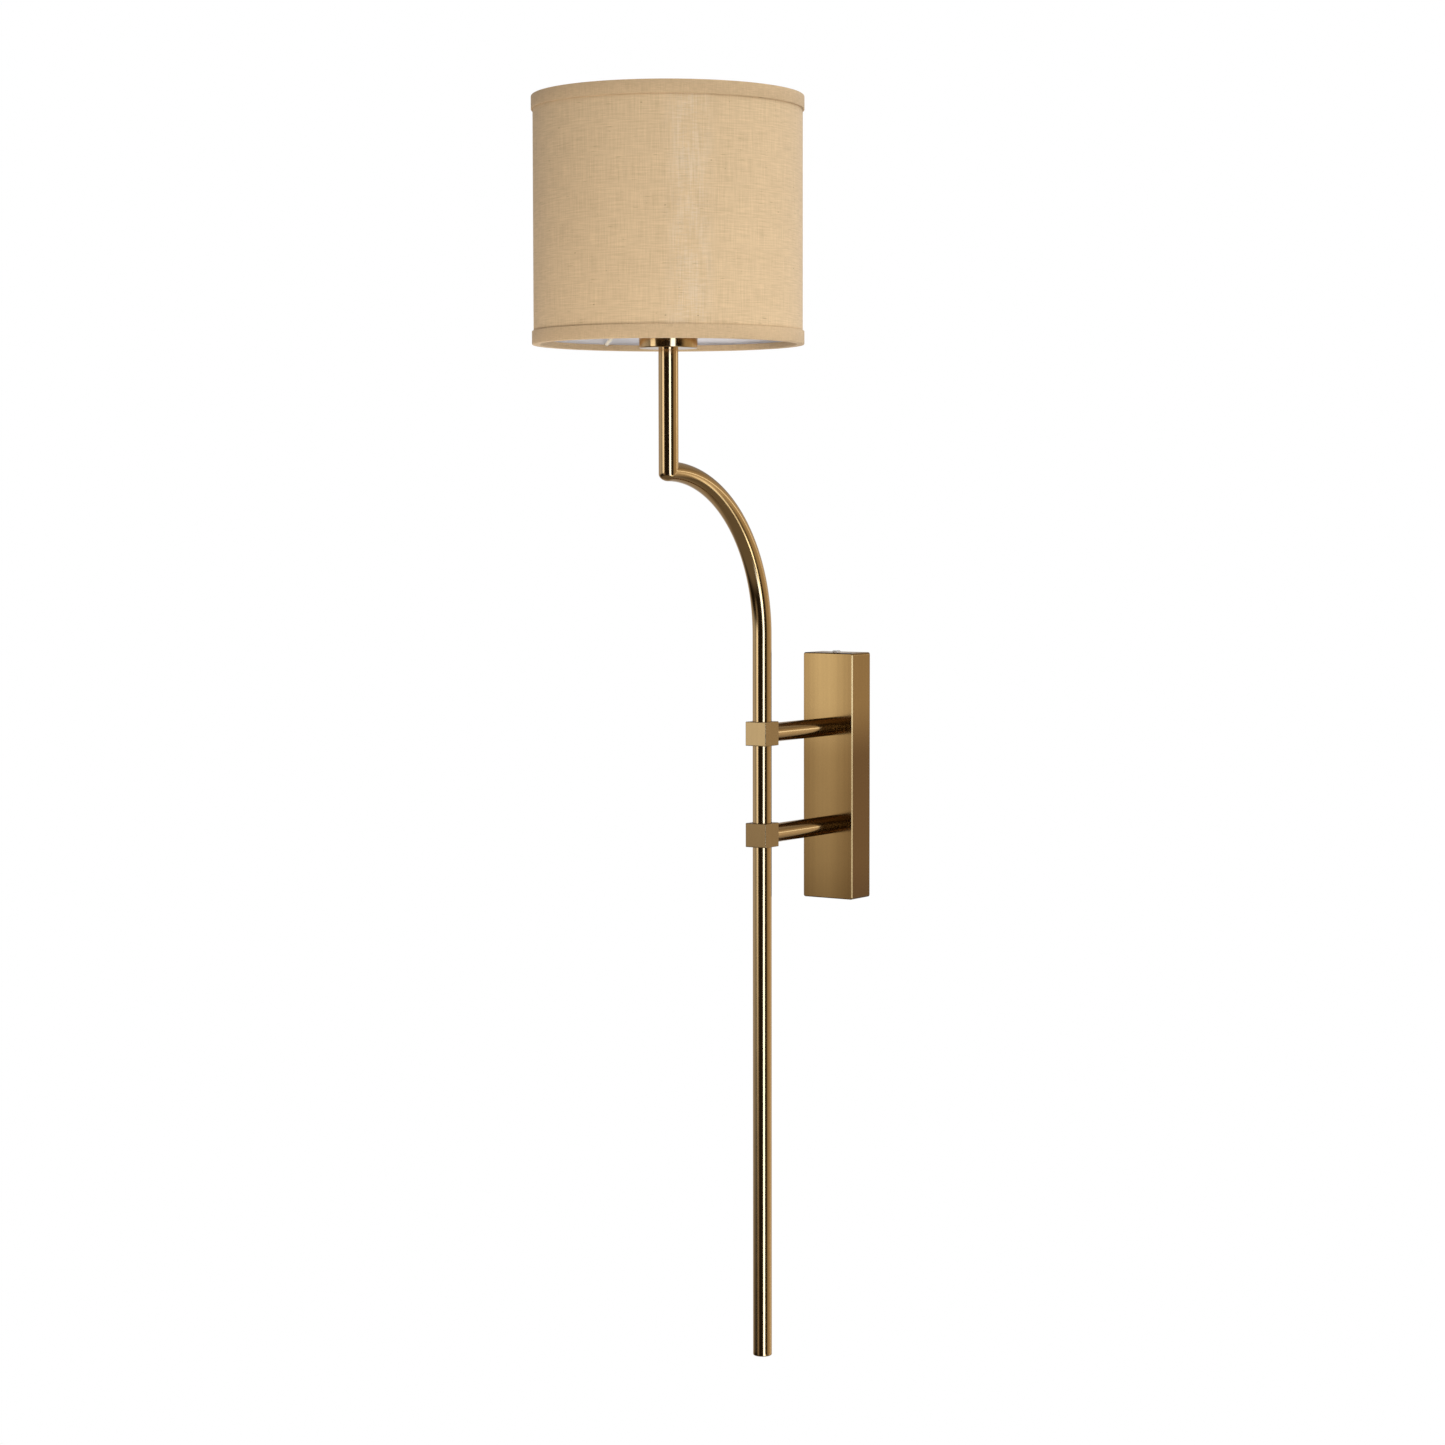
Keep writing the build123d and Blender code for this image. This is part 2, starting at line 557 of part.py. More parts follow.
save(stop_screw, "stop_screw")


# Stem: one tube, straight and then bent a quarter turn, cut to a mitre at its end
STOP_HALF_ARC = SWING_LIMIT + degrees(asin(DOG_RADIUS / TUBE_RADIUS)) + STOP_MARGIN
LEAD_SLOT_HALF_HEIGHT = LEAD_RADIUS + LEAD_SLOT_GAP
LEAD_HALF_ARC = SWING_LIMIT + degrees(asin(LEAD_SLOT_HALF_HEIGHT / TUBE_RADIUS))
STOP_SLOT_HEIGHT = 2 * (DOG_RADIUS + DOG_SIDE_GAP)
with BuildPart() as stem_tube:
    with BuildLine(Plane.YZ) as stem_path:
        Line((STEM_Y, STEM_BOTTOM), (STEM_Y, BEND_START))
        CenterArc((LAMP_Y, BEND_START), BEND_RADIUS, 0, 90)
        Line((LAMP_Y, MITRE_Z), (LAMP_Y - 2 * TUBE_RADIUS, MITRE_Z))
    with BuildSketch(stem_plane(STEM_BOTTOM)):
        Circle(TUBE_RADIUS)
        Circle(TUBE_BORE, mode=Mode.SUBTRACT)
    sweep(path=stem_path.line)
    split(bisect_by=MITRE_PLANE, keep=Keep.TOP)
    bottom_rim = stem_tube.edges().group_by(Axis.Z)[0].sort_by(SortBy.RADIUS)[-1]
    fillet(bottom_rim, radius=TUBE_END_ROUND)
    with BuildSketch(upright_plane(STEM_Y, 180 - STOP_HALF_ARC, LOWER_Z)):
        with Locations((TUBE_RADIUS, 0)):
            Rectangle(4 * TUBE_WALL, STOP_SLOT_HEIGHT)
    revolve(axis=STEM_AXIS, revolution_arc=2 * STOP_HALF_ARC, mode=Mode.SUBTRACT)
    with BuildSketch(upright_plane(STEM_Y, 90 - LEAD_HALF_ARC, UPPER_Z)):
        with Locations((TUBE_RADIUS, 0)):
            Rectangle(4 * TUBE_WALL, 2 * LEAD_SLOT_HALF_HEIGHT)
    revolve(axis=STEM_AXIS, revolution_arc=2 * LEAD_HALF_ARC, mode=Mode.SUBTRACT)
save(stem_tube, "stem_tube")

# Stem end plug, flush with the bottom of the tube
with BuildPart() as stem_end_plug:
    with BuildSketch(stem_plane(STEM_BOTTOM)):
        Circle(TUBE_BORE - THREAD_GAP)
    extrude(amount=PLUG_LENGTH)
save(stem_end_plug, "stem_end_plug")

# Riser: a short tube mitred onto the bend
with BuildPart() as riser_tube:
    with BuildSketch(lamp_plane(MITRE_Z - 2 * TUBE_RADIUS)):
        Circle(TUBE_RADIUS)
        Circle(TUBE_BORE, mode=Mode.SUBTRACT)
    extrude(amount=RISER_LENGTH + 2 * TUBE_RADIUS)
    split(bisect_by=MITRE_PLANE, keep=Keep.BOTTOM)
save(riser_tube, "riser_tube")

# What holds the cup and the lampholder on the riser
INSERT_Z = CUP_BOTTOM - INSERT_LENGTH
riser_insert = sleeve(lamp_plane(INSERT_Z), TUBE_BORE - THREAD_GAP, NIPPLE_RADIUS + THREAD_GAP, INSERT_LENGTH)
save(riser_insert, "riser_insert")

HOLDER_NIPPLE_Z = CUP_BOTTOM - NIPPLE_GRIP
HOLDER_NIPPLE_TOP = BASE_Z + BASE_WALL + NIPPLE_SPARE
HOLDER_NIPPLE_LENGTH = HOLDER_NIPPLE_TOP - HOLDER_NIPPLE_Z
holder_nipple = sleeve(lamp_plane(HOLDER_NIPPLE_Z), NIPPLE_RADIUS, NIPPLE_BORE_RADIUS, HOLDER_NIPPLE_LENGTH)
save(holder_nipple, "holder_nipple")

with BuildPart() as holder_nut:
    with BuildSketch(lamp_plane(HOLDER_NUT_Z)):
        RegularPolygon(NUT_FLATS / 2, 6, major_radius=False)
        Circle(NIPPLE_RADIUS + THREAD_GAP, mode=Mode.SUBTRACT)
    extrude(amount=HOLDER_NUT_HEIGHT)
save(holder_nut, "holder_nut")

# Lamp cup: the turned brass cup that shows under the shade, a little wider at its mouth
with BuildPart() as lamp_cup:
    with BuildSketch(lamp_plane(CUP_BOTTOM)):
        Circle(CUP_RADIUS)
    extrude(amount=CUP_HEIGHT, taper=-CUP_DRAFT)
    fillet(lamp_cup.edges().sort_by(Axis.Z)[0], radius=CUP_EDGE)
    with BuildSketch(lamp_plane(HOLDER_NUT_Z)):
        Circle(CUP_RADIUS - CUP_WALL)
    extrude(amount=CUP_HEIGHT - CUP_BASE, taper=-CUP_DRAFT, mode=Mode.SUBTRACT)
    with BuildSketch(lamp_plane(CUP_BOTTOM)):
        Circle(NIPPLE_RADIUS + PASS_GAP)
    extrude(amount=CUP_BASE, mode=Mode.SUBTRACT)
save(lamp_cup, "lamp_cup")

# Lampholder base: a hollow cap on the nipple
with BuildPart() as lampholder_base:
    with BuildSketch(lamp_plane(BASE_Z)):
        Circle(HOLDER_RADIUS - BASE_DROP_IN)
    extrude(amount=BASE_HEIGHT)
    with BuildSketch(lamp_plane(BASE_Z + BASE_WALL)):
        Circle(HOLDER_RADIUS - BASE_DROP_IN - BASE_WALL)
    extrude(amount=BASE_HEIGHT - BASE_WALL, mode=Mode.SUBTRACT)
    with BuildSketch(lamp_plane(BASE_Z)):
        Circle(NIPPLE_RADIUS + THREAD_GAP)
    extrude(amount=BASE_WALL, mode=Mode.SUBTRACT)
save(lampholder_base, "lampholder_base")

# Lampholder body: the outer barrel, with a flange that the shade stands on
with BuildPart() as lampholder_body:
    with BuildSketch(lamp_plane(BODY_Z)):
        Circle(HOLDER_RADIUS)
    extrude(amount=HOLDER_TOP - BODY_Z)
    with BuildSketch(lamp_plane(FLANGE_Z - FLANGE_THICKNESS)):
        Circle(HOLDER_RADIUS + FLANGE_REACH)
    extrude(amount=FLANGE_THICKNESS)
    with BuildSketch(lamp_plane(BODY_Z)):
        Circle(HOLDER_RADIUS - BASE_DROP_IN - SKIRT_WALL)
    extrude(amount=HOLDER_SKIRT, mode=Mode.SUBTRACT)
    with BuildSketch(lamp_plane(SOCKET_Z)):
        Circle(HOLDER_BORE)
    extrude(amount=HOLDER_TOP - SOCKET_Z, mode=Mode.SUBTRACT)
save(lampholder_body, "lampholder_body")

# Lampholder shell: the brass sleeve that takes the bulb's cap, with a lip on the floor of the socket
with BuildPart() as lampholder_shell:
    with BuildSketch(lamp_plane(SOCKET_Z)):
        Circle(SHELL_OUTER)
    extrude(amount=NECK_Z - SOCKET_Z)
    with BuildSketch(lamp_plane(SOCKET_Z + SHELL_WALL)):
        Circle(SHELL_INNER)
    extrude(amount=NECK_Z - SOCKET_Z - SHELL_WALL, mode=Mode.SUBTRACT)
    with BuildSketch(lamp_plane(SOCKET_Z)):
        Circle(SHELL_INNER - SHELL_LIP)
    extrude(amount=SHELL_WALL, mode=Mode.SUBTRACT)
save(lampholder_shell, "lampholder_shell")

# Lampholder contact: the sprung button in the middle of the floor
with BuildPart() as lampholder_contact:
    with BuildSketch(lamp_plane(SOCKET_Z)):
        Circle(CONTACT_RADIUS)
    extrude(amount=CONTACT_HEIGHT)
    fillet(lampholder_contact.edges().sort_by(Axis.Z)[-1], radius=CONTACT_HEIGHT / 3)
save(lampholder_contact, "lampholder_contact")

# Shade ring: screws down the barrel and clamps the fitter, with notches to grip
CLAMP_RING_OUTER = HOLDER_RADIUS + THREAD_GAP + CLAMP_RING_RIM
with BuildPart() as shade_ring:
    with BuildSketch(lamp_plane(CLAMP_RING_Z)):
        Circle(CLAMP_RING_OUTER)
        Circle(HOLDER_RADIUS + THREAD_GAP, mode=Mode.SUBTRACT)
        with PolarLocations(CLAMP_RING_OUTER, CLAMP_RING_NOTCHES):
            Circle(CLAMP_NOTCH_RADIUS, mode=Mode.SUBTRACT)
    extrude(amount=CLAMP_RING_HEIGHT)
save(shade_ring, "shade_ring")

# Shade frame: fitter ring, three spokes and two wire rings
save(sleeve(lamp_plane(FITTER_Z), FITTER_OUTER, FITTER_INNER, FITTER_THICKNESS), "fitter_ring")

SPOKE_START = FITTER_OUTER + SEAT_GAP
SPOKE_HUB_Z = FITTER_Z + FITTER_THICKNESS / 2
SPOKE_FOOT_Z = WIRE_BOTTOM_Z + FRAME_WIRE_RADIUS + SEAT_GAP + SPOKE_RADIUS
with BuildPart() as shade_spokes:
    for number in range(SPOKE_COUNT):
        spoke_angle = SPOKE_ANGLE + number * 360 / SPOKE_COUNT
        with BuildLine(upright_plane(LAMP_Y, spoke_angle, 0)) as spoke_path:
            FilletPolyline(
                (SPOKE_START, SPOKE_HUB_Z),
                (SPOKE_START + SPOKE_STUB, SPOKE_HUB_Z),
                (WIRE_RING_RADIUS - SPOKE_KNEE, SPOKE_FOOT_Z),
                (WIRE_RING_RADIUS, SPOKE_FOOT_Z),
                radius=SPOKE_BEND,
            )
        with BuildSketch(Plane(origin=spoke_path.line @ 0, z_dir=spoke_path.line % 0)):
            Circle(SPOKE_RADIUS)
        sweep(path=spoke_path.line)
save(shade_spokes, "shade_spokes")

save(torus_wire(WIRE_RING_RADIUS, FRAME_WIRE_RADIUS, WIRE_BOTTOM_Z), "shade_bottom_wire")
save(torus_wire(WIRE_RING_RADIUS, FRAME_WIRE_RADIUS, WIRE_TOP_Z), "shade_top_wire")

# Shade liner and linen: two thin drums, one inside the other
FABRIC_HEIGHT = FABRIC_TOP - FABRIC_BOTTOM
save(sleeve(lamp_plane(FABRIC_BOTTOM), LINER_OUTER, LINER_INNER, FABRIC_HEIGHT), "shade_liner")
save(sleeve(lamp_plane(FABRIC_BOTTOM), LINEN_RADIUS, LINEN_INNER, FABRIC_HEIGHT), "shade_linen")


def make_trim(rim: float, up: int) -> BuildPart:
    """A folded tape over one rim of the drum; up is 1 for the lower rim and -1 for the upper."""
    with BuildPart() as made:
        with BuildSketch(LAMP_SECTION):
            with BuildLine():
                Polyline(
                    (TRIM_LIP_INNER, rim),
                    (TRIM_OUTER, rim),
                    (TRIM_OUTER, rim + up * TRIM_HEIGHT),
                    (TRIM_INNER, rim + up * TRIM_HEIGHT),
                    (TRIM_INNER, rim + up * TRIM_WEB),
                    (TRIM_LIP_OUTER, rim + up * TRIM_WEB),
                    (TRIM_LIP_OUTER, rim + up * TRIM_INNER_HEIGHT),
                    (TRIM_LIP_INNER, rim + up * TRIM_INNER_HEIGHT),
                    close=True,
                )
            make_face()
        revolve(axis=LAMP_AXIS)
        outer_edges = made.edges().filter_by(GeomType.CIRCLE).group_by(SortBy.RADIUS)[-1]
        fillet(outer_edges, radius=TRIM_ROUND)
    return made


save(make_trim(SHADE_TOP, -1), "shade_top_trim")

# Lower trim: its inner fold is snipped where the spokes come in over it
SNIP_Z = SPOKE_FOOT_Z - SPOKE_RADIUS - PASS_GAP
plain_bottom_trim = make_trim(SHADE_BOTTOM, 1)
with BuildPart() as shade_bottom_trim:
    add(plain_bottom_trim.part)
    for number in range(SPOKE_COUNT):
        spoke_turn = radians(SPOKE_ANGLE + number * 360 / SPOKE_COUNT)
        spoke_face = Plane(
            origin=(0, LAMP_Y, SNIP_Z),
            x_dir=(-sin(spoke_turn), cos(spoke_turn), 0),
            z_dir=(cos(spoke_turn), sin(spoke_turn), 0),
        )
        with BuildSketch(spoke_face):
            Rectangle(2 * (SPOKE_RADIUS + PASS_GAP), TRIM_INNER_HEIGHT, align=(Align.CENTER, Align.MIN))
        extrude(amount=WIRE_RING_RADIUS, mode=Mode.SUBTRACT)
save(shade_bottom_trim, "shade_bottom_trim")

# Arm lead: from the terminal block through the upper arm, ending upwards on the swing axis
LEAD_TOP = BLOCK_Z - BLOCK_HEIGHT / 2
ARM_LEAD_END = UPPER_Z + LEAD_COLLAR_BEND + LEAD_AXIS_TAIL
with BuildPart() as arm_lead:
    with BuildLine(Plane.YZ) as arm_lead_path:
        FilletPolyline(
            (LEAD_Y, LEAD_TOP),
            (LEAD_Y, UPPER_Z),
            (STEM_Y, UPPER_Z),
            (STEM_Y, ARM_LEAD_END),
            radius=(LEAD_BLOCK_BEND, LEAD_COLLAR_BEND),
        )
    with BuildSketch(Plane(origin=(0, LEAD_Y, LEAD_TOP), z_dir=(0, 0, -1))):
        Circle(LEAD_RADIUS)
    sweep(path=arm_lead_path.line)
save(arm_lead, "arm_lead")

# Stem lead: up the stem, round the bend, and up the riser into the lampholder
STEM_LEAD_START = ARM_LEAD_END + LEAD_ENDS_GAP
STEM_LEAD_END = HOLDER_NIPPLE_TOP + LEAD_HOLDER_TAIL
TURN_RISE = sqrt((BEND_RADIUS + LEAD_RISER_BEND) ** 2 - LEAD_RISER_BEND**2)
LEAVE_ANGLE = 90 - degrees(asin(LEAD_RISER_BEND / (BEND_RADIUS + LEAD_RISER_BEND)))
with BuildPart() as stem_lead:
    with BuildLine(Plane.YZ) as stem_lead_path:
        Line((STEM_Y, STEM_LEAD_START), (STEM_Y, BEND_START))
        CenterArc((LAMP_Y, BEND_START), BEND_RADIUS, 0, LEAVE_ANGLE)
        CenterArc((LAMP_Y + LEAD_RISER_BEND, BEND_START + TURN_RISE), LEAD_RISER_BEND, 180, LEAVE_ANGLE)
        Line((LAMP_Y, BEND_START + TURN_RISE), (LAMP_Y, STEM_LEAD_END))
    with BuildSketch(stem_plane(STEM_LEAD_START)):
        Circle(LEAD_RADIUS)
    sweep(path=stem_lead_path.line)
save(stem_lead, "stem_lead")

# Bulb: contact, insulator, screw cap, neck and globe
with BuildPart() as bulb_contact:
    with BuildSketch(lamp_plane(TIP_Z)):
        Circle(TIP_RADIUS)
    extrude(amount=TIP_HEIGHT)
    fillet(bulb_contact.edges().sort_by(Axis.Z)[0], radius=TIP_HEIGHT / 2)
save(bulb_contact, "bulb_contact")

with BuildPart() as bulb_insulator:
    with BuildSketch(LAMP_SECTION):
        with BuildLine():
            Polyline(
                (0, INSULATOR_Z),
                (INSULATOR_FOOT_RADIUS, INSULATOR_Z),
                (INSULATOR_TOP_RADIUS, CAP_Z),
                (0, CAP_Z),
                close=True,
            )
        make_face()
    revolve(axis=LAMP_AXIS)
save(bulb_insulator, "bulb_insulator")

CAP_GROOVES = int((CAP_LENGTH - 2 * CAP_PLAIN_END) / CAP_GROOVE_PITCH)
CAP_GROOVE_RADIUS = ((CAP_GROOVE_PITCH / 2) ** 2 / 4 + CAP_GROOVE_DEPTH**2) / (2 * CAP_GROOVE_DEPTH)
with BuildPart() as bulb_screw_cap:
    with BuildSketch(lamp_plane(CAP_Z)):
        Circle(CAP_RADIUS)
    extrude(amount=CAP_LENGTH)
    with BuildSketch(LAMP_SECTION):
        for groove in range(CAP_GROOVES):
            groove_z = CAP_Z + CAP_PLAIN_END + CAP_GROOVE_PITCH / 2 + groove * CAP_GROOVE_PITCH
            with Locations((CAP_RADIUS - CAP_GROOVE_DEPTH + CAP_GROOVE_RADIUS, groove_z)):
                Circle(CAP_GROOVE_RADIUS)
    revolve(axis=LAMP_AXIS, mode=Mode.SUBTRACT)
save(bulb_screw_cap, "bulb_screw_cap")

NECK_FLARE_Z = NECK_Z + NECK_COLLAR_HEIGHT
with BuildPart() as bulb_neck:
    with BuildSketch(LAMP_SECTION):
        with BuildLine():
            Line((0, NECK_Z), (NECK_COLLAR_RADIUS, NECK_Z))
            Line((NECK_COLLAR_RADIUS, NECK_Z), (NECK_COLLAR_RADIUS, NECK_FLARE_Z))
            SagittaArc((NECK_COLLAR_RADIUS, NECK_FLARE_Z), (GLOBE_SEAT_RADIUS, GLOBE_SEAT_Z), -NECK_BULGE)
            Line((GLOBE_SEAT_RADIUS, GLOBE_SEAT_Z), (0, GLOBE_SEAT_Z))
            Line((0, GLOBE_SEAT_Z), (0, NECK_Z))
        make_face()
    revolve(axis=LAMP_AXIS)
save(bulb_neck, "bulb_neck")

with BuildPart() as bulb_globe:
    with BuildSketch(LAMP_SECTION):
        with Locations((0, GLOBE_Z)):
            Circle(GLOBE_RADIUS)
            Circle(GLOBE_RADIUS - GLOBE_WALL, mode=Mode.SUBTRACT)
        with Locations((0, GLOBE_SEAT_Z)):
            Rectangle(
                GLOBE_RADIUS,
                GLOBE_RADIUS + GLOBE_SKIRT,
                align=(Align.MIN, Align.MIN),
                mode=Mode.INTERSECT,
            )
    revolve(axis=LAMP_AXIS)
save(bulb_globe, "bulb_globe")
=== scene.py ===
"""Dresses a brass wall sconce with a linen drum shade, and stands it in a plain studio."""
import logging
from contextlib import contextmanager
from dataclasses import dataclass
from enum import Enum
from math import acos, ceil, cos, pi, radians, sin, tau
from typing import Callable, Iterator, Mapping, Sequence, Union

import bpy
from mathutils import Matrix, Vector


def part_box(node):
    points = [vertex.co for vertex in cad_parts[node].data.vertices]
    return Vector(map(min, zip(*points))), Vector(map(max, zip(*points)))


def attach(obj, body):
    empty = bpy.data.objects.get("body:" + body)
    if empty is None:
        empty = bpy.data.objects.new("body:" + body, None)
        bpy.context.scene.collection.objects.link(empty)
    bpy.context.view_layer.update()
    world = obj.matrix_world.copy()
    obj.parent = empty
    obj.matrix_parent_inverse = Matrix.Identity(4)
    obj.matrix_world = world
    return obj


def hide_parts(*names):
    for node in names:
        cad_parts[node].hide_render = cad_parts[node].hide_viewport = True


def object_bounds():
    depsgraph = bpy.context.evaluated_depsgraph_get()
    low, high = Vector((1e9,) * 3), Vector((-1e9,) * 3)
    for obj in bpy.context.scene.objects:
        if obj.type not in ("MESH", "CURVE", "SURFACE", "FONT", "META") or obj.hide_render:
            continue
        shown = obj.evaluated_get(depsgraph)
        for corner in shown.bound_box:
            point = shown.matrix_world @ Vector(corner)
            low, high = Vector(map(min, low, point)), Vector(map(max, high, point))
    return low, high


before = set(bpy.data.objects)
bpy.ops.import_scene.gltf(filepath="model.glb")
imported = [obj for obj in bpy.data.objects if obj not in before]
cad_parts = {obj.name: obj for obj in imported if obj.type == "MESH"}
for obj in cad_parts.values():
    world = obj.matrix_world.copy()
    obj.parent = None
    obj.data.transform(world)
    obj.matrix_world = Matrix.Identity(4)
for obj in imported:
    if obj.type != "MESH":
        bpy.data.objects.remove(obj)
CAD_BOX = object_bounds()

LOG = logging.getLogger("sconce")
MM = 0.001

Colour = tuple[float, float, float]
Cell = tuple[float, float, float]
Operand = Union["Wire", float, Sequence[float]]
Key = Union[str, int]


class Wire:
    """An output socket of a node tree that Python's operators can work on."""

    def __init__(self, graph: "Graph", socket: bpy.types.NodeSocket) -> None:
        """Keeps the socket and the graph that it belongs to."""
        self.graph = graph
        self.socket = socket

    @property
    def is_vector(self) -> bool:
        """True where the socket carries three numbers."""
        return self.socket.type in {"VECTOR", "RGBA"}

    def __add__(self, other: Operand) -> "Wire":
        """self + other"""
        return self.graph.math("ADD", self, other)

    def __sub__(self, other: Operand) -> "Wire":
        """self - other"""
        return self.graph.math("SUBTRACT", self, other)

    def __rsub__(self, other: Operand) -> "Wire":
        """other - self"""
        return self.graph.math("SUBTRACT", other, self)

    def __mul__(self, other: Operand) -> "Wire":
        """self * other"""
        return self.graph.math("MULTIPLY", self, other)

    def __truediv__(self, other: Operand) -> "Wire":
        """self / other"""
        return self.graph.math("DIVIDE", self, other)

    __radd__ = __add__
    __rmul__ = __mul__


class Graph:
    """A node tree that is written as Python expressions."""

    def __init__(self, tree: bpy.types.NodeTree) -> None:
        """Empties the tree and takes it over."""
        self.tree = tree
        tree.nodes.clear()

    def feed(self, socket: bpy.types.NodeSocket, value: Operand) -> None:
        """Links a wire to an input socket, or sets the socket's own value.

        Args:
            socket: the input socket.
            value: a wire, a number, or three or four numbers.
        """
        if isinstance(value, Wire):
            self.tree.links.new(value.socket, socket)
        elif isinstance(value, (int, float)) and socket.type == "VECTOR":
            socket.default_value = (value,) * 3
        elif socket.type == "RGBA" and not isinstance(value, (int, float)):
            socket.default_value = (*value[:3], 1.0)
        else:
            socket.default_value = value

    def add(
        self,
        kind: str,
        settings: Mapping[str, object] | None = None,
        sockets: Mapping[Key, Operand] | None = None,
    ) -> bpy.types.Node:
        """Adds one node.

        Args:
            kind: the node's type.
            settings: its properties, set before its sockets.
            sockets: values or wires by input name or number.

        Returns:
            The node.
        """
        made = self.tree.nodes.new(kind)
        for name, value in (settings or {}).items():
            setattr(made, name, value)
        for key, value in (sockets or {}).items():
            self.feed(made.inputs[key], value)
        return made

    def node(
        self,
        kind: str,
        settings: Mapping[str, object] | None = None,
        sockets: Mapping[Key, Operand] | None = None,
        out: Key = 0,
    ) -> Wire:
        """Adds one node, as add does, and hands back the output that out names."""
        return Wire(self, self.add(kind, settings, sockets).outputs[out])

    def math(self, operation: str, *operands: Operand) -> Wire:
        """Adds a Math node, or a Vector Math node where an operand is a vector.

        Args:
            operation: the node's operation.
            operands: wires or numbers, in the order of the node's inputs.

        Returns:
            The result.
        """
        vector = any(isinstance(x, Wire) and x.is_vector or isinstance(x, tuple) for x in operands)
        kind = "ShaderNodeVectorMath" if vector else "ShaderNodeMath"
        return self.node(kind, {"operation": operation}, dict(enumerate(operands)))

    def mix(self, factor: Operand, first: Operand, second: Operand) -> Wire:
        """Mixes two colours.

        Args:
            factor: 0 for the first colour, 1 for the second.
            first: a colour.
            second: a colour.

        Returns:
            The mixed colour.
        """
        return self.node("ShaderNodeMix", {"data_type": "RGBA"}, {0: factor, 6: first, 7: second}, out=2)

    def ease(self, value: Wire, start: float, end: float) -> Wire:
        """A smooth step from 0 at start to 1 at end, where start may be the larger.

        Args:
            value: what is stepped.
            start: where the result is 0.
            end: where the result is 1.

        Returns:
            A number from 0 to 1.
        """
        settings = {"interpolation_type": "SMOOTHSTEP"}
        return self.node("ShaderNodeMapRange", settings, {0: value, 1: start, 2: end})

    def split(self, vector: Wire) -> tuple[Wire, Wire, Wire]:
        """The three parts of a vector."""
        made = self.add("ShaderNodeSeparateXYZ", {}, {0: vector})
        return tuple(Wire(self, made.outputs[axis]) for axis in range(3))

    def noise(self, vector: Wire, cell: Sequence[float], detail: float = 2.0, seed: float = 0.0) -> Wire:
        """Soft noise with cells of a given size.

        Args:
            vector: a place in metres.
            cell: the size of a cell along X, Y and Z in metres.
            detail: octaves of finer noise.
            seed: moves the pattern.

        Returns:
            A number around 0.5.
        """
        settings = {"noise_dimensions": "4D"}
        scaled = vector * tuple(1 / size for size in cell)
        sockets = {"Vector": scaled, "W": seed, "Scale": 1.0, "Detail": detail, "Roughness": 0.55}
        return self.node("ShaderNodeTexNoise", settings, sockets)

    def bump(self, height: Wire, distance: float, strength: float = 1.0) -> Wire:
        """A normal bent by a height map; distance is in metres."""
        return self.node("ShaderNodeBump", {}, {"Height": height, "Distance": distance, "Strength": strength})

    def principled(self, sockets: Mapping[Key, Operand]) -> Wire:
        """The main surface shader with the given sockets."""
        return self.node("ShaderNodeBsdfPrincipled", {}, sockets)

    def close(self, shader: Wire, output: str = "ShaderNodeOutputMaterial") -> None:
        """Joins the finished shader to the tree's output."""
        self.add(output, {}, {"Surface": shader})


def new_material(name: str) -> tuple[bpy.types.Material, Graph, Wire]:
    """Starts a material.

    Args:
        name: the material's name.

    Returns:
        The material, its graph, and the place on the piece in metres.
    """
    material = bpy.data.materials.new(name)
    material.use_nodes = True
    graph = Graph(material.node_tree)
    place = graph.node("ShaderNodeTexCoord", out="Object")
    return material, graph, place


def shade_of(colour: Colour, factor: float) -> Colour:
    """A colour made darker or lighter by a factor."""
    return tuple(min(1.0, part * factor) for part in colour)


class Grain(Enum):
    """Which way a metal was brushed, as the size of one brushed streak along X, Y and Z in metres."""

    UPRIGHT = (0.0011, 0.0011, 0.22)
    NONE = (0.012, 0.012, 0.012)


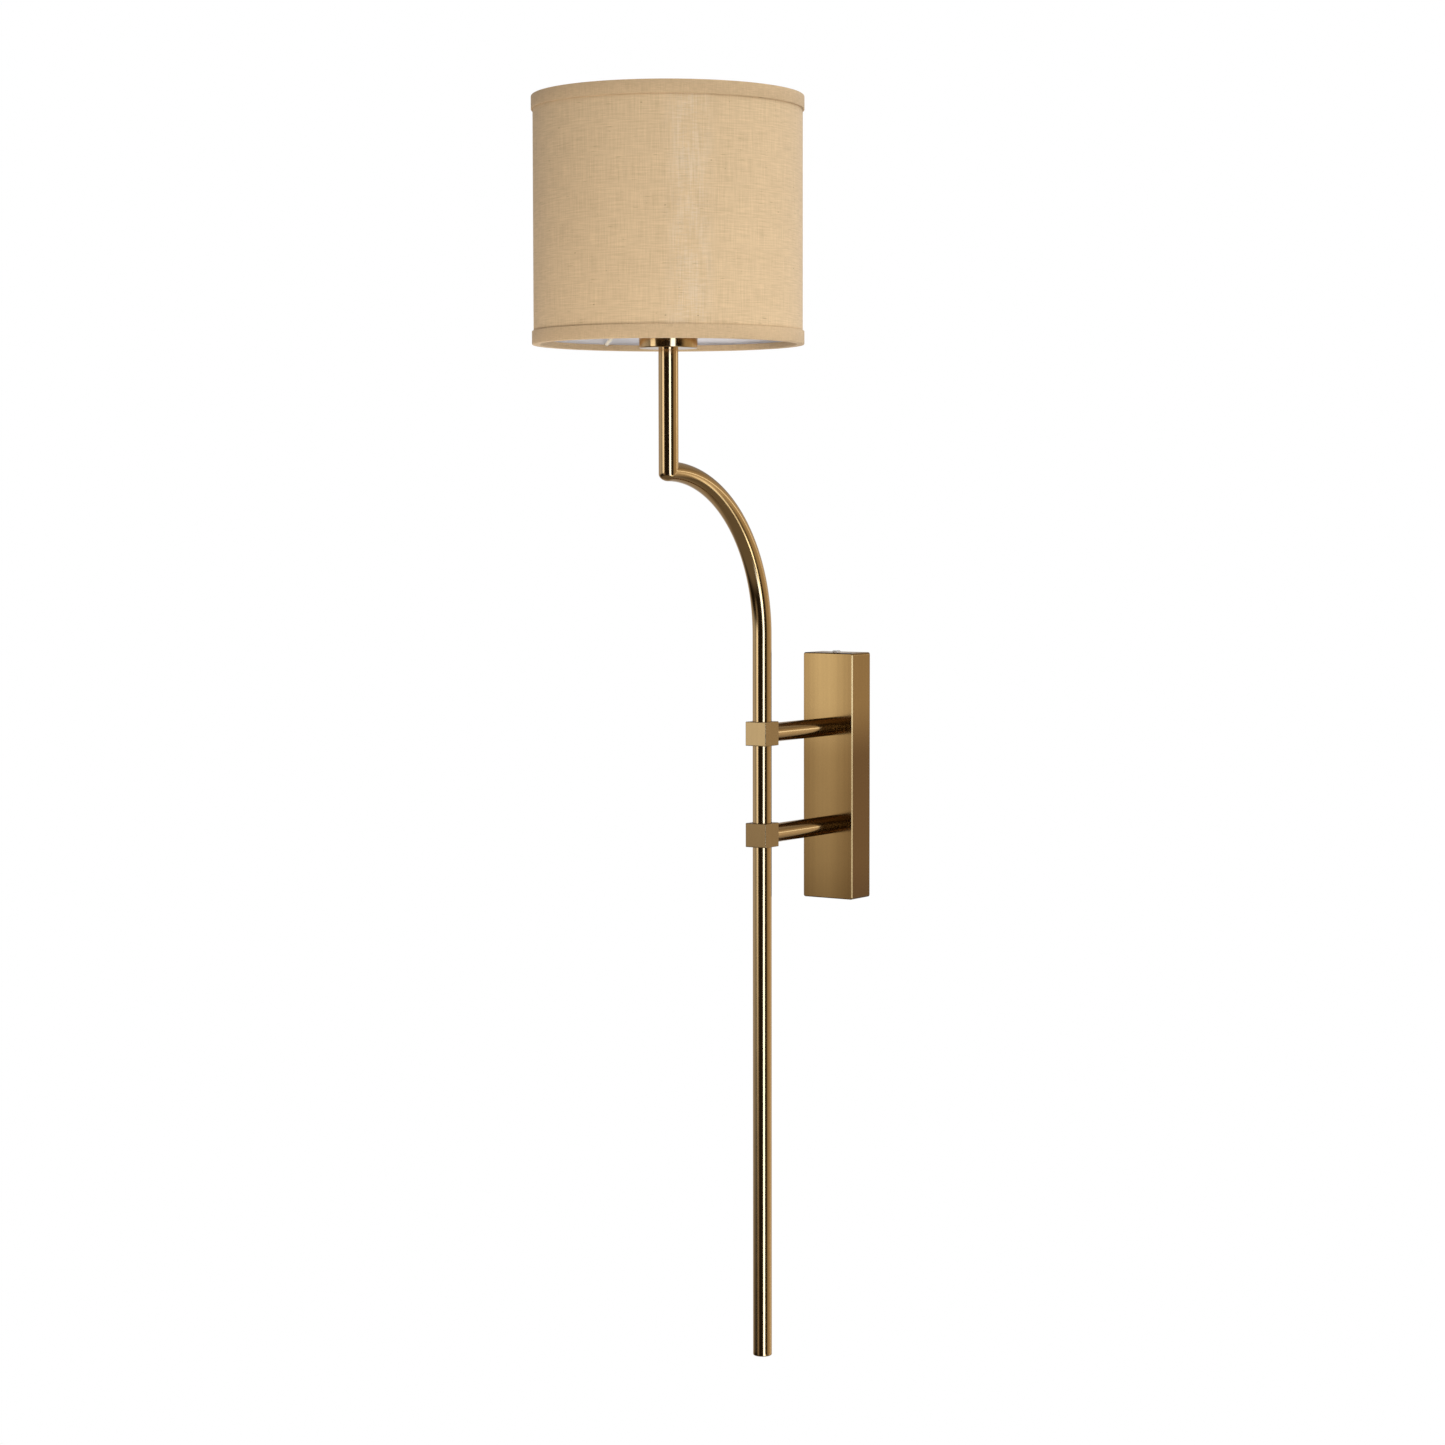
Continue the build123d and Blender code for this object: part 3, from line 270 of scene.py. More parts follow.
@dataclass(frozen=True)
class Metal:
    """A metal with brushed streaks, a faint patina under lacquer, and, where given a tint, painted shade and
    painted highlight.
    """

    colour: Colour
    roughness: float
    grain: Grain = Grain.NONE
    anisotropy: float = 0.0
    streak: float = 0.08
    patina: float = 0.07
    patina_cell: float = 0.03
    tone_spread: float = 0.28
    streak_depth: float = 0.0
    # Painted shade: its tint, bands towards the foot with their weights, shares by facing, and darkening away
    # from a painted highlight line across the front
    painted_shade: Colour | None = None
    painted_shade_bands: tuple[tuple[float, float, float], ...] = ((0.062, 0.012, 1.0), (-0.065, -0.105, 0.45))
    front_share: float = 1.0
    side_share: float = 1.0
    bevel_share: float = 0.0
    painted_highlight_x: float = -0.003
    margin: tuple[float, float] = (0.002, 0.026)
    margin_share: float = 0.0

    def add_painted_shade(self, graph: Graph, place: Wire, colour: Wire) -> Wire:
        """Paints shade into a colour: darker in bands towards the lamp's foot, and on the front away from a
        painted highlight line.

        Front and side faces take given shares of this painted shade. The bevelled edge between them takes
        less and stays brighter, a painted edge highlight.

        Args:
            graph: the material's graph.
            place: the place on the piece in metres.
            colour: the clean metal's colour.

        Returns:
            The colour with painted shade.
        """
        x, _, z = graph.split(place)
        facing = graph.split(graph.node("ShaderNodeTexCoord", out="Normal"))[1]
        front = graph.ease(facing, -0.8, -0.95)
        side = graph.ease(facing, -0.6, -0.3)
        bevel = 1 - front - side
        share = front * self.front_share + side * self.side_share + bevel * self.bevel_share
        depths = [graph.ease(z, top, foot) * share * weight for top, foot, weight in self.painted_shade_bands]
        aside = graph.math("ABSOLUTE", x - self.painted_highlight_x)
        depths.append(graph.ease(aside, *self.margin) * front * self.margin_share)
        for depth in depths:
            colour = graph.math("MULTIPLY", colour, graph.mix(depth, (1.0, 1.0, 1.0), self.painted_shade))
        return colour

    def material(self, name: str) -> bpy.types.Material:
        """Builds the material under a name."""
        material, graph, place = new_material(name)
        streaks = graph.noise(place, self.grain.value, detail=3.0)
        bands = graph.noise(place, [3.5 * size for size in self.grain.value], detail=1.0, seed=4.0)
        clouds = graph.noise(place, (self.patina_cell,) * 3, detail=3.0, seed=9.0)
        tone = (streaks - 0.5) * self.streak + (bands - 0.5) * self.streak + (clouds - 0.5) * self.patina
        lift = tone * 2.0 + 0.5
        dark = shade_of(self.colour, 1 - self.tone_spread)
        light = shade_of(self.colour, 1 + self.tone_spread)
        colour = graph.mix(lift, dark, light)
        roughness = (streaks - 0.5) * (0.5 * self.roughness) + (clouds - 0.5) * 0.06 + self.roughness
        # Painted shade and painted highlight, for a metal given a tint for them
        if self.painted_shade:
            colour = self.add_painted_shade(graph, place, colour)
        sockets: dict[Key, Operand] = {
            "Base Color": colour,
            "Roughness": roughness,
            "Metallic": 1.0,
            "Anisotropic": self.anisotropy,
        }
        if self.streak_depth:
            sockets["Normal"] = graph.bump(streaks, self.streak_depth)
        graph.close(graph.principled(sockets))
        return material


@dataclass(frozen=True)
class Moulding:
    """A plastic, enamel or glass surface with a little unevenness."""

    colour: Colour
    roughness: float
    mottle: float = 0.06
    mottle_cell: float = 0.012
    skin_cell: float = 0.0006
    skin_depth: float = 0.000004
    coat: float = 0.0
    subsurface: float = 0.0

    def material(self, name: str) -> bpy.types.Material:
        """Builds the material under a name."""
        material, graph, place = new_material(name)
        clouds = graph.noise(place, (self.mottle_cell,) * 3, detail=3.0, seed=2.0)
        skin = graph.noise(place, (self.skin_cell,) * 3, detail=2.0)
        lift = (clouds - 0.5) * 1.6 + 0.5
        dark = shade_of(self.colour, 1 - self.mottle)
        light = shade_of(self.colour, 1 + self.mottle)
        colour = graph.mix(lift, dark, light)
        roughness = (clouds - 0.5) * 0.2 + self.roughness
        sockets = {
            "Base Color": colour,
            "Roughness": roughness,
            "Coat Weight": self.coat,
            "Subsurface Weight": self.subsurface,
            "Subsurface Scale": 0.002,
            "Normal": graph.bump(skin, self.skin_depth),
        }
        graph.close(graph.principled(sockets))
        return material


@dataclass(frozen=True)
class Woven:
    """A plain-woven cloth on a drum: thick and thin threads, slubs, specks, and a painted highlight band
    drawn as paler threads.
    """

    colour: Colour
    axis_y: float
    radius: float
    thread: float = 0.00062
    thread_run: float = 0.016
    contrast: float = 0.22
    slub: float = 0.5
    speck: float = 0.75
    # streak, its angle, its half width and pale set a painted highlight band of paler threads
    streak: float = 0.2
    sheen_angle: float = 44.0
    sheen_half_width: float = 0.0105
    husk: Colour = (0.22, 0.13, 0.06)
    pale: Colour = (0.86, 0.78, 0.66)
    dark_pull: Colour = (0.9, 1.0, 1.15)
    mottle_cell: Cell = (0.045, 0.02, 1.0)
    slub_cell: Cell = (0.011, 0.00095, 1.0)
    slub_patch_cell: Cell = (0.03, 0.02, 1.0)
    speck_cell: Cell = (0.0034, 0.0014, 1.0)
    weave_depth: float = 0.00006
    sheen: float = 0.12

    def material(self, name: str) -> bpy.types.Material:
        """Builds the material under a name."""
        material, graph, place = new_material(name)
        x, y, z = graph.split(place)
        turn = graph.math("ARCTAN2", x, self.axis_y - y)
        round_drum = turn * self.radius
        flat = graph.node("ShaderNodeCombineXYZ", {}, {0: round_drum, 1: z})
        weft = graph.noise(flat, (self.thread_run, 1.5 * self.thread, 1.0), detail=2.0)
        warp = graph.noise(flat, (1.3 * self.thread, 1.4 * self.thread_run, 1.0), detail=2.0, seed=3.0)
        mottle = graph.noise(flat, self.mottle_cell, detail=1.0, seed=5.0)
        tone = (weft - 0.5) * 1.2 + (warp - 0.5) * 1.0 + (mottle - 0.5) * 0.2 + 0.5
        dark = tuple(part * (1 - self.contrast * share) for part, share in zip(self.colour, self.dark_pull))
        colour = graph.mix(tone, dark, shade_of(self.colour, 1 + self.contrast))
        colour = graph.mix(self.slubs(graph, flat) * self.slub, colour, self.husk)
        colour = graph.mix(self.specks(graph, flat) * self.speck, colour, self.husk)
        # Painted highlight: paler threads where the strip light's sheen falls on the cloth
        colour = graph.mix(self.painted_sheen(graph, flat, turn) * self.streak, colour, self.pale)
        across = graph.math("SINE", round_drum * (tau / (2 * self.thread)))
        up = graph.math("SINE", z * (tau / (2 * self.thread)))
        height = across * up * 0.5 + weft * 0.6 + warp * 0.4
        sockets = {
            "Base Color": colour,
            "Roughness": (weft - 0.5) * 0.2 + 0.86,
            "Specular IOR Level": 0.25,
            "Sheen Weight": self.sheen,
            "Sheen Roughness": 0.5,
            "Normal": graph.bump(height, self.weave_depth, 0.7),
        }
        graph.close(graph.principled(sockets))
        return material

    def slubs(self, graph: Graph, flat: Wire) -> Wire:
        """Short thick weft threads that read darker.

        Args:
            graph: the material's graph.
            flat: the place on the unrolled cloth in metres.

        Returns:
            1 on a slub, 0 elsewhere.
        """
        long_ones = graph.noise(flat, self.slub_cell, detail=1.0, seed=11.0)
        patches = graph.noise(flat, self.slub_patch_cell, detail=1.0, seed=13.0)
        return graph.ease(long_ones + (patches - 0.5) * 0.25, 0.66, 0.8)

    def specks(self, graph: Graph, flat: Wire) -> Wire:
        """Flecks of husk in the yarn.

        Args:
            graph: the material's graph.
            flat: the place on the unrolled cloth in metres.

        Returns:
            1 on a fleck, 0 elsewhere.
        """
        flecks = graph.noise(flat, self.speck_cell, detail=0.0, seed=17.0)
        return graph.ease(flecks, 0.78, 0.86)

    def painted_sheen(self, graph: Graph, flat: Wire, turn: Wire) -> Wire:
        """A painted highlight, drawn as paler warp threads where the strip light's sheen falls, broken along
        its length.

        Args:
            graph: the material's graph.
            flat: the place on the unrolled cloth in metres.
            turn: the angle round the drum in radians, 0 at the front.

        Returns:
            1 in the middle of the group, 0 away from it.
        """
        away = graph.math("ABSOLUTE", turn - radians(self.sheen_angle)) * self.radius
        group = graph.ease(away, 2.2 * self.sheen_half_width, 0.3 * self.sheen_half_width)
        upright = graph.noise(flat, (0.0012, 0.02, 1.0), detail=2.0, seed=19.0)
        level = graph.noise(flat, (0.006, 0.0012, 1.0), detail=2.0, seed=21.0)
        patches = graph.noise(flat, (0.008, 0.03, 1.0), detail=1.0, seed=23.0)
        threads = (upright + level) * 0.5 + (patches - 0.5) * 0.6
        return group * graph.ease(threads, 0.38, 0.68)


@dataclass(frozen=True)
class Span:
    """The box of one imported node."""

    low: Vector
    high: Vector

    @classmethod
    def of(cls, node: str) -> "Span":
        """Reads a node's box from the imported model."""
        return cls(*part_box(node))

    @property
    def centre(self) -> Vector:
        """The middle of the box."""
        return (self.low + self.high) / 2

    @property
    def size(self) -> Vector:
        """The box's length along each axis."""
        return self.high - self.low


def select_only(piece: bpy.types.Object) -> None:
    """Selects one piece alone and makes it the active one."""
    bpy.ops.object.select_all(action="DESELECT")
    piece.select_set(True)
    bpy.context.view_layer.objects.active = piece


@contextmanager
def editing(piece: bpy.types.Object) -> Iterator[None]:
    """Opens a piece in edit mode with all of it selected, and closes it again."""
    select_only(piece)
    bpy.ops.object.mode_set(mode="EDIT")
    bpy.ops.mesh.select_mode(type="VERT")
    bpy.ops.mesh.select_all(action="SELECT")
    yield
    bpy.ops.object.mode_set(mode="OBJECT")


def pick(piece: bpy.types.Object, test: Callable[[Vector], bool]) -> None:
    """Selects, in edit mode, the vertices that pass a test of their place.

    Args:
        piece: the piece that is open in edit mode.
        test: takes a vertex's place and says whether it is wanted.
    """
    bpy.ops.mesh.select_all(action="DESELECT")
    bpy.ops.object.mode_set(mode="OBJECT")
    for vertex in piece.data.vertices:
        vertex.select = test(vertex.co)
    bpy.ops.object.mode_set(mode="EDIT")


def pull(value: Sequence[float]) -> None:
    """Extrudes what is selected by a vector."""
    bpy.ops.mesh.extrude_region_move(TRANSFORM_OT_translate={"value": tuple(value)})


def weld() -> None:
    """Merges doubles over the whole piece and turns its faces outwards."""
    bpy.ops.mesh.select_all(action="SELECT")
    bpy.ops.mesh.remove_doubles(threshold=0.002 * MM)
    bpy.ops.mesh.normals_make_consistent(inside=False)


def begin(name: str) -> bpy.types.Object:
    """Names the new primitive and puts its place into its mesh."""
    piece = bpy.context.object
    piece.name = name
    piece.data.name = name
    bpy.ops.object.transform_apply(location=True, rotation=True, scale=True)
    return piece


def ring(name: str, radius: float, place: Sequence[float], sides: int) -> bpy.types.Object:
    """Adds an open circle to start a tube from.

    Args:
        name: the piece's name.
        radius: the circle's radius in metres.
        place: its centre.
        sides: its number of sides.

    Returns:
        The new piece.
    """
    bpy.ops.object.select_all(action="DESELECT")
    bpy.ops.mesh.primitive_circle_add(vertices=sides, radius=radius, location=place)
    return begin(name)


def apply_modifier(piece: bpy.types.Object, kind: str, **settings: object) -> None:
    """Adds a modifier with its settings and applies it.

    Args:
        piece: the piece to change.
        kind: the modifier's type.
        settings: its properties.
    """
    select_only(piece)
    modifier = piece.modifiers.new(kind.title(), kind)
    for name, value in settings.items():
        setattr(modifier, name, value)
    bpy.ops.object.modifier_apply(modifier=modifier.name)


def cut_away(piece: bpy.types.Object, cutter: bpy.types.Object) -> None:
    """Cuts one piece's shape out of another and removes the cutter."""
    apply_modifier(piece, "BOOLEAN", operation="DIFFERENCE", solver="EXACT", object=cutter)
    bpy.data.objects.remove(cutter)


def finish_piece(
    piece: bpy.types.Object,
    material: bpy.types.Material,
    body: str,
    slot: str,
    *nodes: str,
    crease: float = 35.0,
) -> bpy.types.Object:
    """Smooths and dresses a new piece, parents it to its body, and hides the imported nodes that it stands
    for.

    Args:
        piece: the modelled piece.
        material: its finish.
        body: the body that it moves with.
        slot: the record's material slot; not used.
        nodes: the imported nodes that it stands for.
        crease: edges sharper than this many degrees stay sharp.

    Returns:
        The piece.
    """
    select_only(piece)
    bpy.ops.object.shade_smooth_by_angle(angle=radians(crease))
    piece.data.materials.clear()
    piece.data.materials.append(material)
    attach(piece, body)
    if nodes:
        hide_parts(*nodes)
    LOG.info("%s: %d faces, rides on %s", piece.name, len(piece.data.polygons), body)
    return piece


BRASS: Colour = (0.66, 0.405, 0.163)
PLATE_COLOUR: Colour = (0.466, 0.268, 0.089)
COLLAR_COLOUR: Colour = (0.44, 0.27, 0.105)
# Tint of the painted shade on the plate and the collars
PAINTED_SHADE_TINT: Colour = (0.51, 0.45, 0.39)
LAMP_Y = Span.of("lamp_cup").centre.y
DRUM_RADIUS = Span.of("shade_linen").size.x / 2


class Finish(Enum):
    """Every finish on the lamp."""

    POLISHED_BRASS = Metal(BRASS, 0.125, streak=0.04, patina=0.1)
    # Painted shade on the plate: darker in bands towards its foot and away from a painted highlight line down
    # its front
    PLATE_BRASS = Metal(
        PLATE_COLOUR, 0.18, Grain.UPRIGHT, anisotropy=0.85, streak=0.14, streak_depth=0.000001,
        painted_shade=PAINTED_SHADE_TINT, front_share=0.7, bevel_share=0.6, margin_share=0.6,
    )
    # Painted shade on the collars: the lower collar and the collars' front faces are painted darker
    COLLAR_BRASS = Metal(
        COLLAR_COLOUR, 0.18, Grain.UPRIGHT, anisotropy=0.6, streak=0.08,
        painted_shade=PAINTED_SHADE_TINT, painted_shade_bands=((0.03, 0.0, 1.0),), front_share=0.84, side_share=0.25,
    )
    ARM_BRASS = Metal((0.62, 0.38, 0.153), 0.13, Grain.NONE, streak=0.04, patina=0.08)
    SCREW_PAINT = Moulding((0.62, 0.61, 0.6), 0.45, mottle=0.1, coat=0.2)
    FITTING_BRASS = Metal((0.78, 0.56, 0.25), 0.3, patina=0.2)
    ZINC = Metal((0.56, 0.57, 0.58), 0.36, patina=0.3, patina_cell=0.006)
    NICKEL = Metal((0.66, 0.63, 0.58), 0.24, patina=0.15, patina_cell=0.008)
    GREEN = Moulding((0.05, 0.2, 0.06), 0.35, coat=0.4)
    WIRE_ENAMEL = Moulding((0.76, 0.7, 0.58), 0.4, coat=0.3, skin_cell=0.0014, skin_depth=0.00003)
    TERMINAL_PLASTIC = Moulding((0.78, 0.76, 0.7), 0.5)
    NYLON = Moulding((0.72, 0.7, 0.63), 0.45)
    LEAD_SHEATH = Moulding((0.68, 0.67, 0.62), 0.45)
    PHENOLIC = Moulding((0.022, 0.021, 0.02), 0.38, mottle=0.2, coat=0.2)
    STYRENE = Moulding((0.8, 0.79, 0.82), 0.5, mottle=0.03, mottle_cell=0.03)
    OPAL = Moulding((0.9, 0.89, 0.85), 0.32, mottle=0.02, subsurface=0.25)
    BULB_HOUSING = Moulding((0.82, 0.82, 0.8), 0.4, mottle=0.03, coat=0.15)
    INSULATOR = Moulding((0.015, 0.015, 0.018), 0.2, coat=0.5)
    LINEN = Woven((0.628, 0.464, 0.281), LAMP_Y, DRUM_RADIUS)
    TAPE = Woven(
        (0.55, 0.397, 0.236), LAMP_Y, DRUM_RADIUS, thread=0.00045, thread_run=0.006,
        contrast=0.2, slub=0.08, speck=0.12, streak=0.0,
    )

    def material(self) -> bpy.types.Material:
        """The finish's material, built the first time that it is asked for."""
        name = f"{self.name.lower()}_finish"
        return bpy.data.materials.get(name) or self.value.material(name)


NODE_FINISH: dict[str, Finish] = {
    "antique_brass": Finish.POLISHED_BRASS,
    "fitting_brass": Finish.FITTING_BRASS,
    "zinc_steel": Finish.ZINC,
    "white_wire": Finish.WIRE_ENAMEL,
    "green_screw": Finish.GREEN,
    "white_plastic": Finish.TERMINAL_PLASTIC,
    "nylon": Finish.NYLON,
    "lead_sheath": Finish.LEAD_SHEATH,
    "black_phenolic": Finish.PHENOLIC,
    "white_styrene": Finish.STYRENE,
    "linen": Finish.LINEN,
    "linen_tape": Finish.TAPE,
    "opal_cover": Finish.OPAL,
    "bulb_housing": Finish.BULB_HOUSING,
    "nickel_cap": Finish.NICKEL,
    "black_insulator": Finish.INSULATOR,
}
OWN_FINISH: dict[str, Finish] = {
    "backplate_cover": Finish.PLATE_BRASS,
    "upper_collar": Finish.COLLAR_BRASS,
    "lower_collar": Finish.COLLAR_BRASS,
    "upper_arm": Finish.ARM_BRASS,
    "lower_arm": Finish.ARM_BRASS,
    "cover_screws": Finish.SCREW_PAINT,
}


def dress_nodes() -> None:
    """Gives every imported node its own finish, or the one of the slot that its first material names."""
    for name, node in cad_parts.items():
        slot = node.data.materials[0].name.split(".")[0]
        finish = OWN_FINISH.get(name, NODE_FINISH[slot])
        node.data.materials[0] = finish.material()


@dataclass(frozen=True)
class Slot:
    """A slot part of the way round the stem, out of sight in a collar: metres and degrees, 0 to the right."""

    collar: str
    half_height: float
    middle: float
    half_arc: float
    margin: float = 2.0 * MM

    @property
    def height(self) -> float:
        """The height of its middle."""
        return Span.of(self.collar).centre.z

    @property
    def levels(self) -> tuple[float, float]:
        """Heights just below and just above the slot, still inside the collar."""
        reach = self.half_height + self.margin
        return self.height - reach, self.height + reach


@dataclass
class Stem:
    """The long bent tube that swings in the collars, and the riser mitred onto it."""

    tube: Span = Span.of("stem_tube")
    plug: Span = Span.of("stem_end_plug")
    riser: Span = Span.of("riser_tube")
    sides: int = 96
    bend_steps: int = 72
    end_round: float = 0.8 * MM
    corner_round: float = 7.0 * MM
    corner_steps: int = 8
    corner_start: float = 0.25
    stop_slot: Slot = Slot("lower_collar", 1.6 * MM, 180.0, 103.0)
    lead_slot: Slot = Slot("upper_collar", 3.3 * MM, 90.0, 116.1)
    slot_steps: int = 64

    def __post_init__(self) -> None:
        """Works out the stem's axis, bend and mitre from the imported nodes."""
        self.radius = self.riser.size.x / 2
        self.wall = self.radius - self.plug.size.x / 2
        self.axis_y = self.plug.centre.y
        self.lamp_y = self.riser.centre.y
        self.bend_radius = self.axis_y - self.lamp_y
        self.mitre_z = self.riser.low.z + self.radius
        self.bend_start = self.mitre_z - self.bend_radius
        self.mitre_point = (0.0, self.lamp_y, self.mitre_z)
        self.mitre_normal = (0.0, 1.0, -1.0)

    def on_mitre(self, place: Vector) -> bool:
        """True for a place on the mitre's plane."""
        return abs((place.y - self.lamp_y) - (place.z - self.mitre_z)) < 0.01 * MM

    def on_surface(self, place: Vector) -> bool:
        """True for a place on the outside of the stem's upright stretch."""
        return abs(Vector((place.x, place.y - self.axis_y)).length - self.radius) < 0.02 * MM

    def draw_tube(self) -> bpy.types.Object:
        """Draws the stem's skin up from its lower end, round the bend and out to the mitre."""
        skin = ring("stem_skin", self.radius, (0, self.axis_y, self.tube.low.z), self.sides)
        foot = self.tube.low.z
        levels = (foot + 4 * self.end_round, *self.stop_slot.levels, *self.lead_slot.levels, self.bend_start)
        with editing(skin):
            for start, end in zip((foot, *levels), levels):
                pull((0, 0, end - start))
            bpy.ops.mesh.spin(
                steps=self.bend_steps,
                angle=-pi / 2,
                center=(0, self.lamp_y, self.bend_start),
                axis=(1, 0, 0),
            )
            pull((0, -2 * self.radius, 0))
            weld()
            bpy.ops.mesh.bisect(plane_co=self.mitre_point, plane_no=self.mitre_normal, clear_inner=True)
        return skin

    def draw_riser(self) -> bpy.types.Object:
        """Draws the riser's skin down from under the cup to the mitre."""
        skin = ring("riser_skin", self.radius, (0, self.lamp_y, self.riser.high.z), self.sides)
        with editing(skin):
            pull((0, 0, -self.riser.size.z - self.radius))
            weld()
            bpy.ops.mesh.bisect(plane_co=self.mitre_point, plane_no=self.mitre_normal, clear_outer=True)
        return skin

    def round_corner(self, skin: bpy.types.Object) -> None:
        """Rounds the outside of the mitre, most at its lowest point and not at all at its sides."""
        with editing(skin):
            weld()
        weights = skin.data.attributes.new("bevel_weight_edge", "FLOAT", "EDGE")
        for edge in skin.data.edges:
            ends = [skin.data.vertices[number].co for number in edge.vertices]
            drop = (self.mitre_z - (ends[0].z + ends[1].z) / 2) / self.radius
            if drop > self.corner_start and all(self.on_mitre(end) for end in ends):
                share = (drop - self.corner_start) / (1 - self.corner_start)
                weights.data[edge.index].value = share * share
        apply_modifier(
            skin, "BEVEL", width=self.corner_round, segments=self.corner_steps,
            limit_method="WEIGHT", use_clamp_overlap=False,
        )

    def part_off(self, skin: bpy.types.Object, name: str, riser: bool) -> bpy.types.Object:
        """Copies the skin, keeps one side of the mitre and gives it a wall.

        Args:
            skin: the stem and riser as one skin.
            name: the new piece's name.
            riser: True to keep the riser, False to keep the stem.

        Returns:
            The new piece.
        """
        select_only(skin)
        bpy.ops.object.duplicate()
        piece = begin(name)
        with editing(piece):
            bpy.ops.mesh.bisect(
                plane_co=self.mitre_point,
                plane_no=self.mitre_normal,
                clear_inner=not riser,
                clear_outer=riser,
            )
        apply_modifier(piece, "SOLIDIFY", thickness=self.wall, offset=-1.0)
        return piece

    def cut_slot(self, stem: bpy.types.Object, slot: Slot) -> None:
        """Cuts a slot through the stem's wall with a block that is swept round its axis.

        Args:
            stem: the stem with its wall.
            slot: the slot's size and place.
        """
        turn = radians(slot.middle - slot.half_arc)
        place = (self.radius * cos(turn), self.axis_y + self.radius * sin(turn), slot.height)
        bpy.ops.object.select_all(action="DESELECT")
        bpy.ops.mesh.primitive_plane_add(size=1.0, location=place, rotation=(pi / 2, 0, turn))
        bpy.context.object.scale = (4 * self.wall, 2 * slot.half_height, 1.0)
        cutter = begin("slot")
        with editing(cutter):
            bpy.ops.mesh.spin(
                steps=self.slot_steps,
                angle=-radians(2 * slot.half_arc),
                center=(0, self.axis_y, slot.height),
                axis=(0, 0, 1),
            )
            weld()
            bpy.ops.mesh.dissolve_limited(angle_limit=radians(1))
        cut_away(stem, cutter)

    def build(self) -> None:
        """Draws both tubes as one skin and parts them at the mitre."""
        skin = self.draw_tube()
        self.draw_riser().select_set(True)
        skin.select_set(True)
        bpy.context.view_layer.objects.active = skin
        bpy.ops.object.join()
        self.round_corner(skin)
        stem = self.part_off(skin, "stem", riser=False)
        with editing(stem):
            pick(stem, lambda place: place.z < self.tube.low.z + 0.01 * MM and self.on_surface(place))
            bpy.ops.mesh.bevel(offset=self.end_round, segments=4, affect="EDGES")
        self.cut_slot(stem, self.stop_slot)
        self.cut_slot(stem, self.lead_slot)
        riser = self.part_off(skin, "riser", riser=True)
        bpy.data.objects.remove(skin)
        brass = Finish.POLISHED_BRASS.material()
        finish_piece(stem, brass, "swing_stem", "antique_brass", "stem_tube")
        finish_piece(riser, brass, "swing_stem", "antique_brass", "riser_tube")


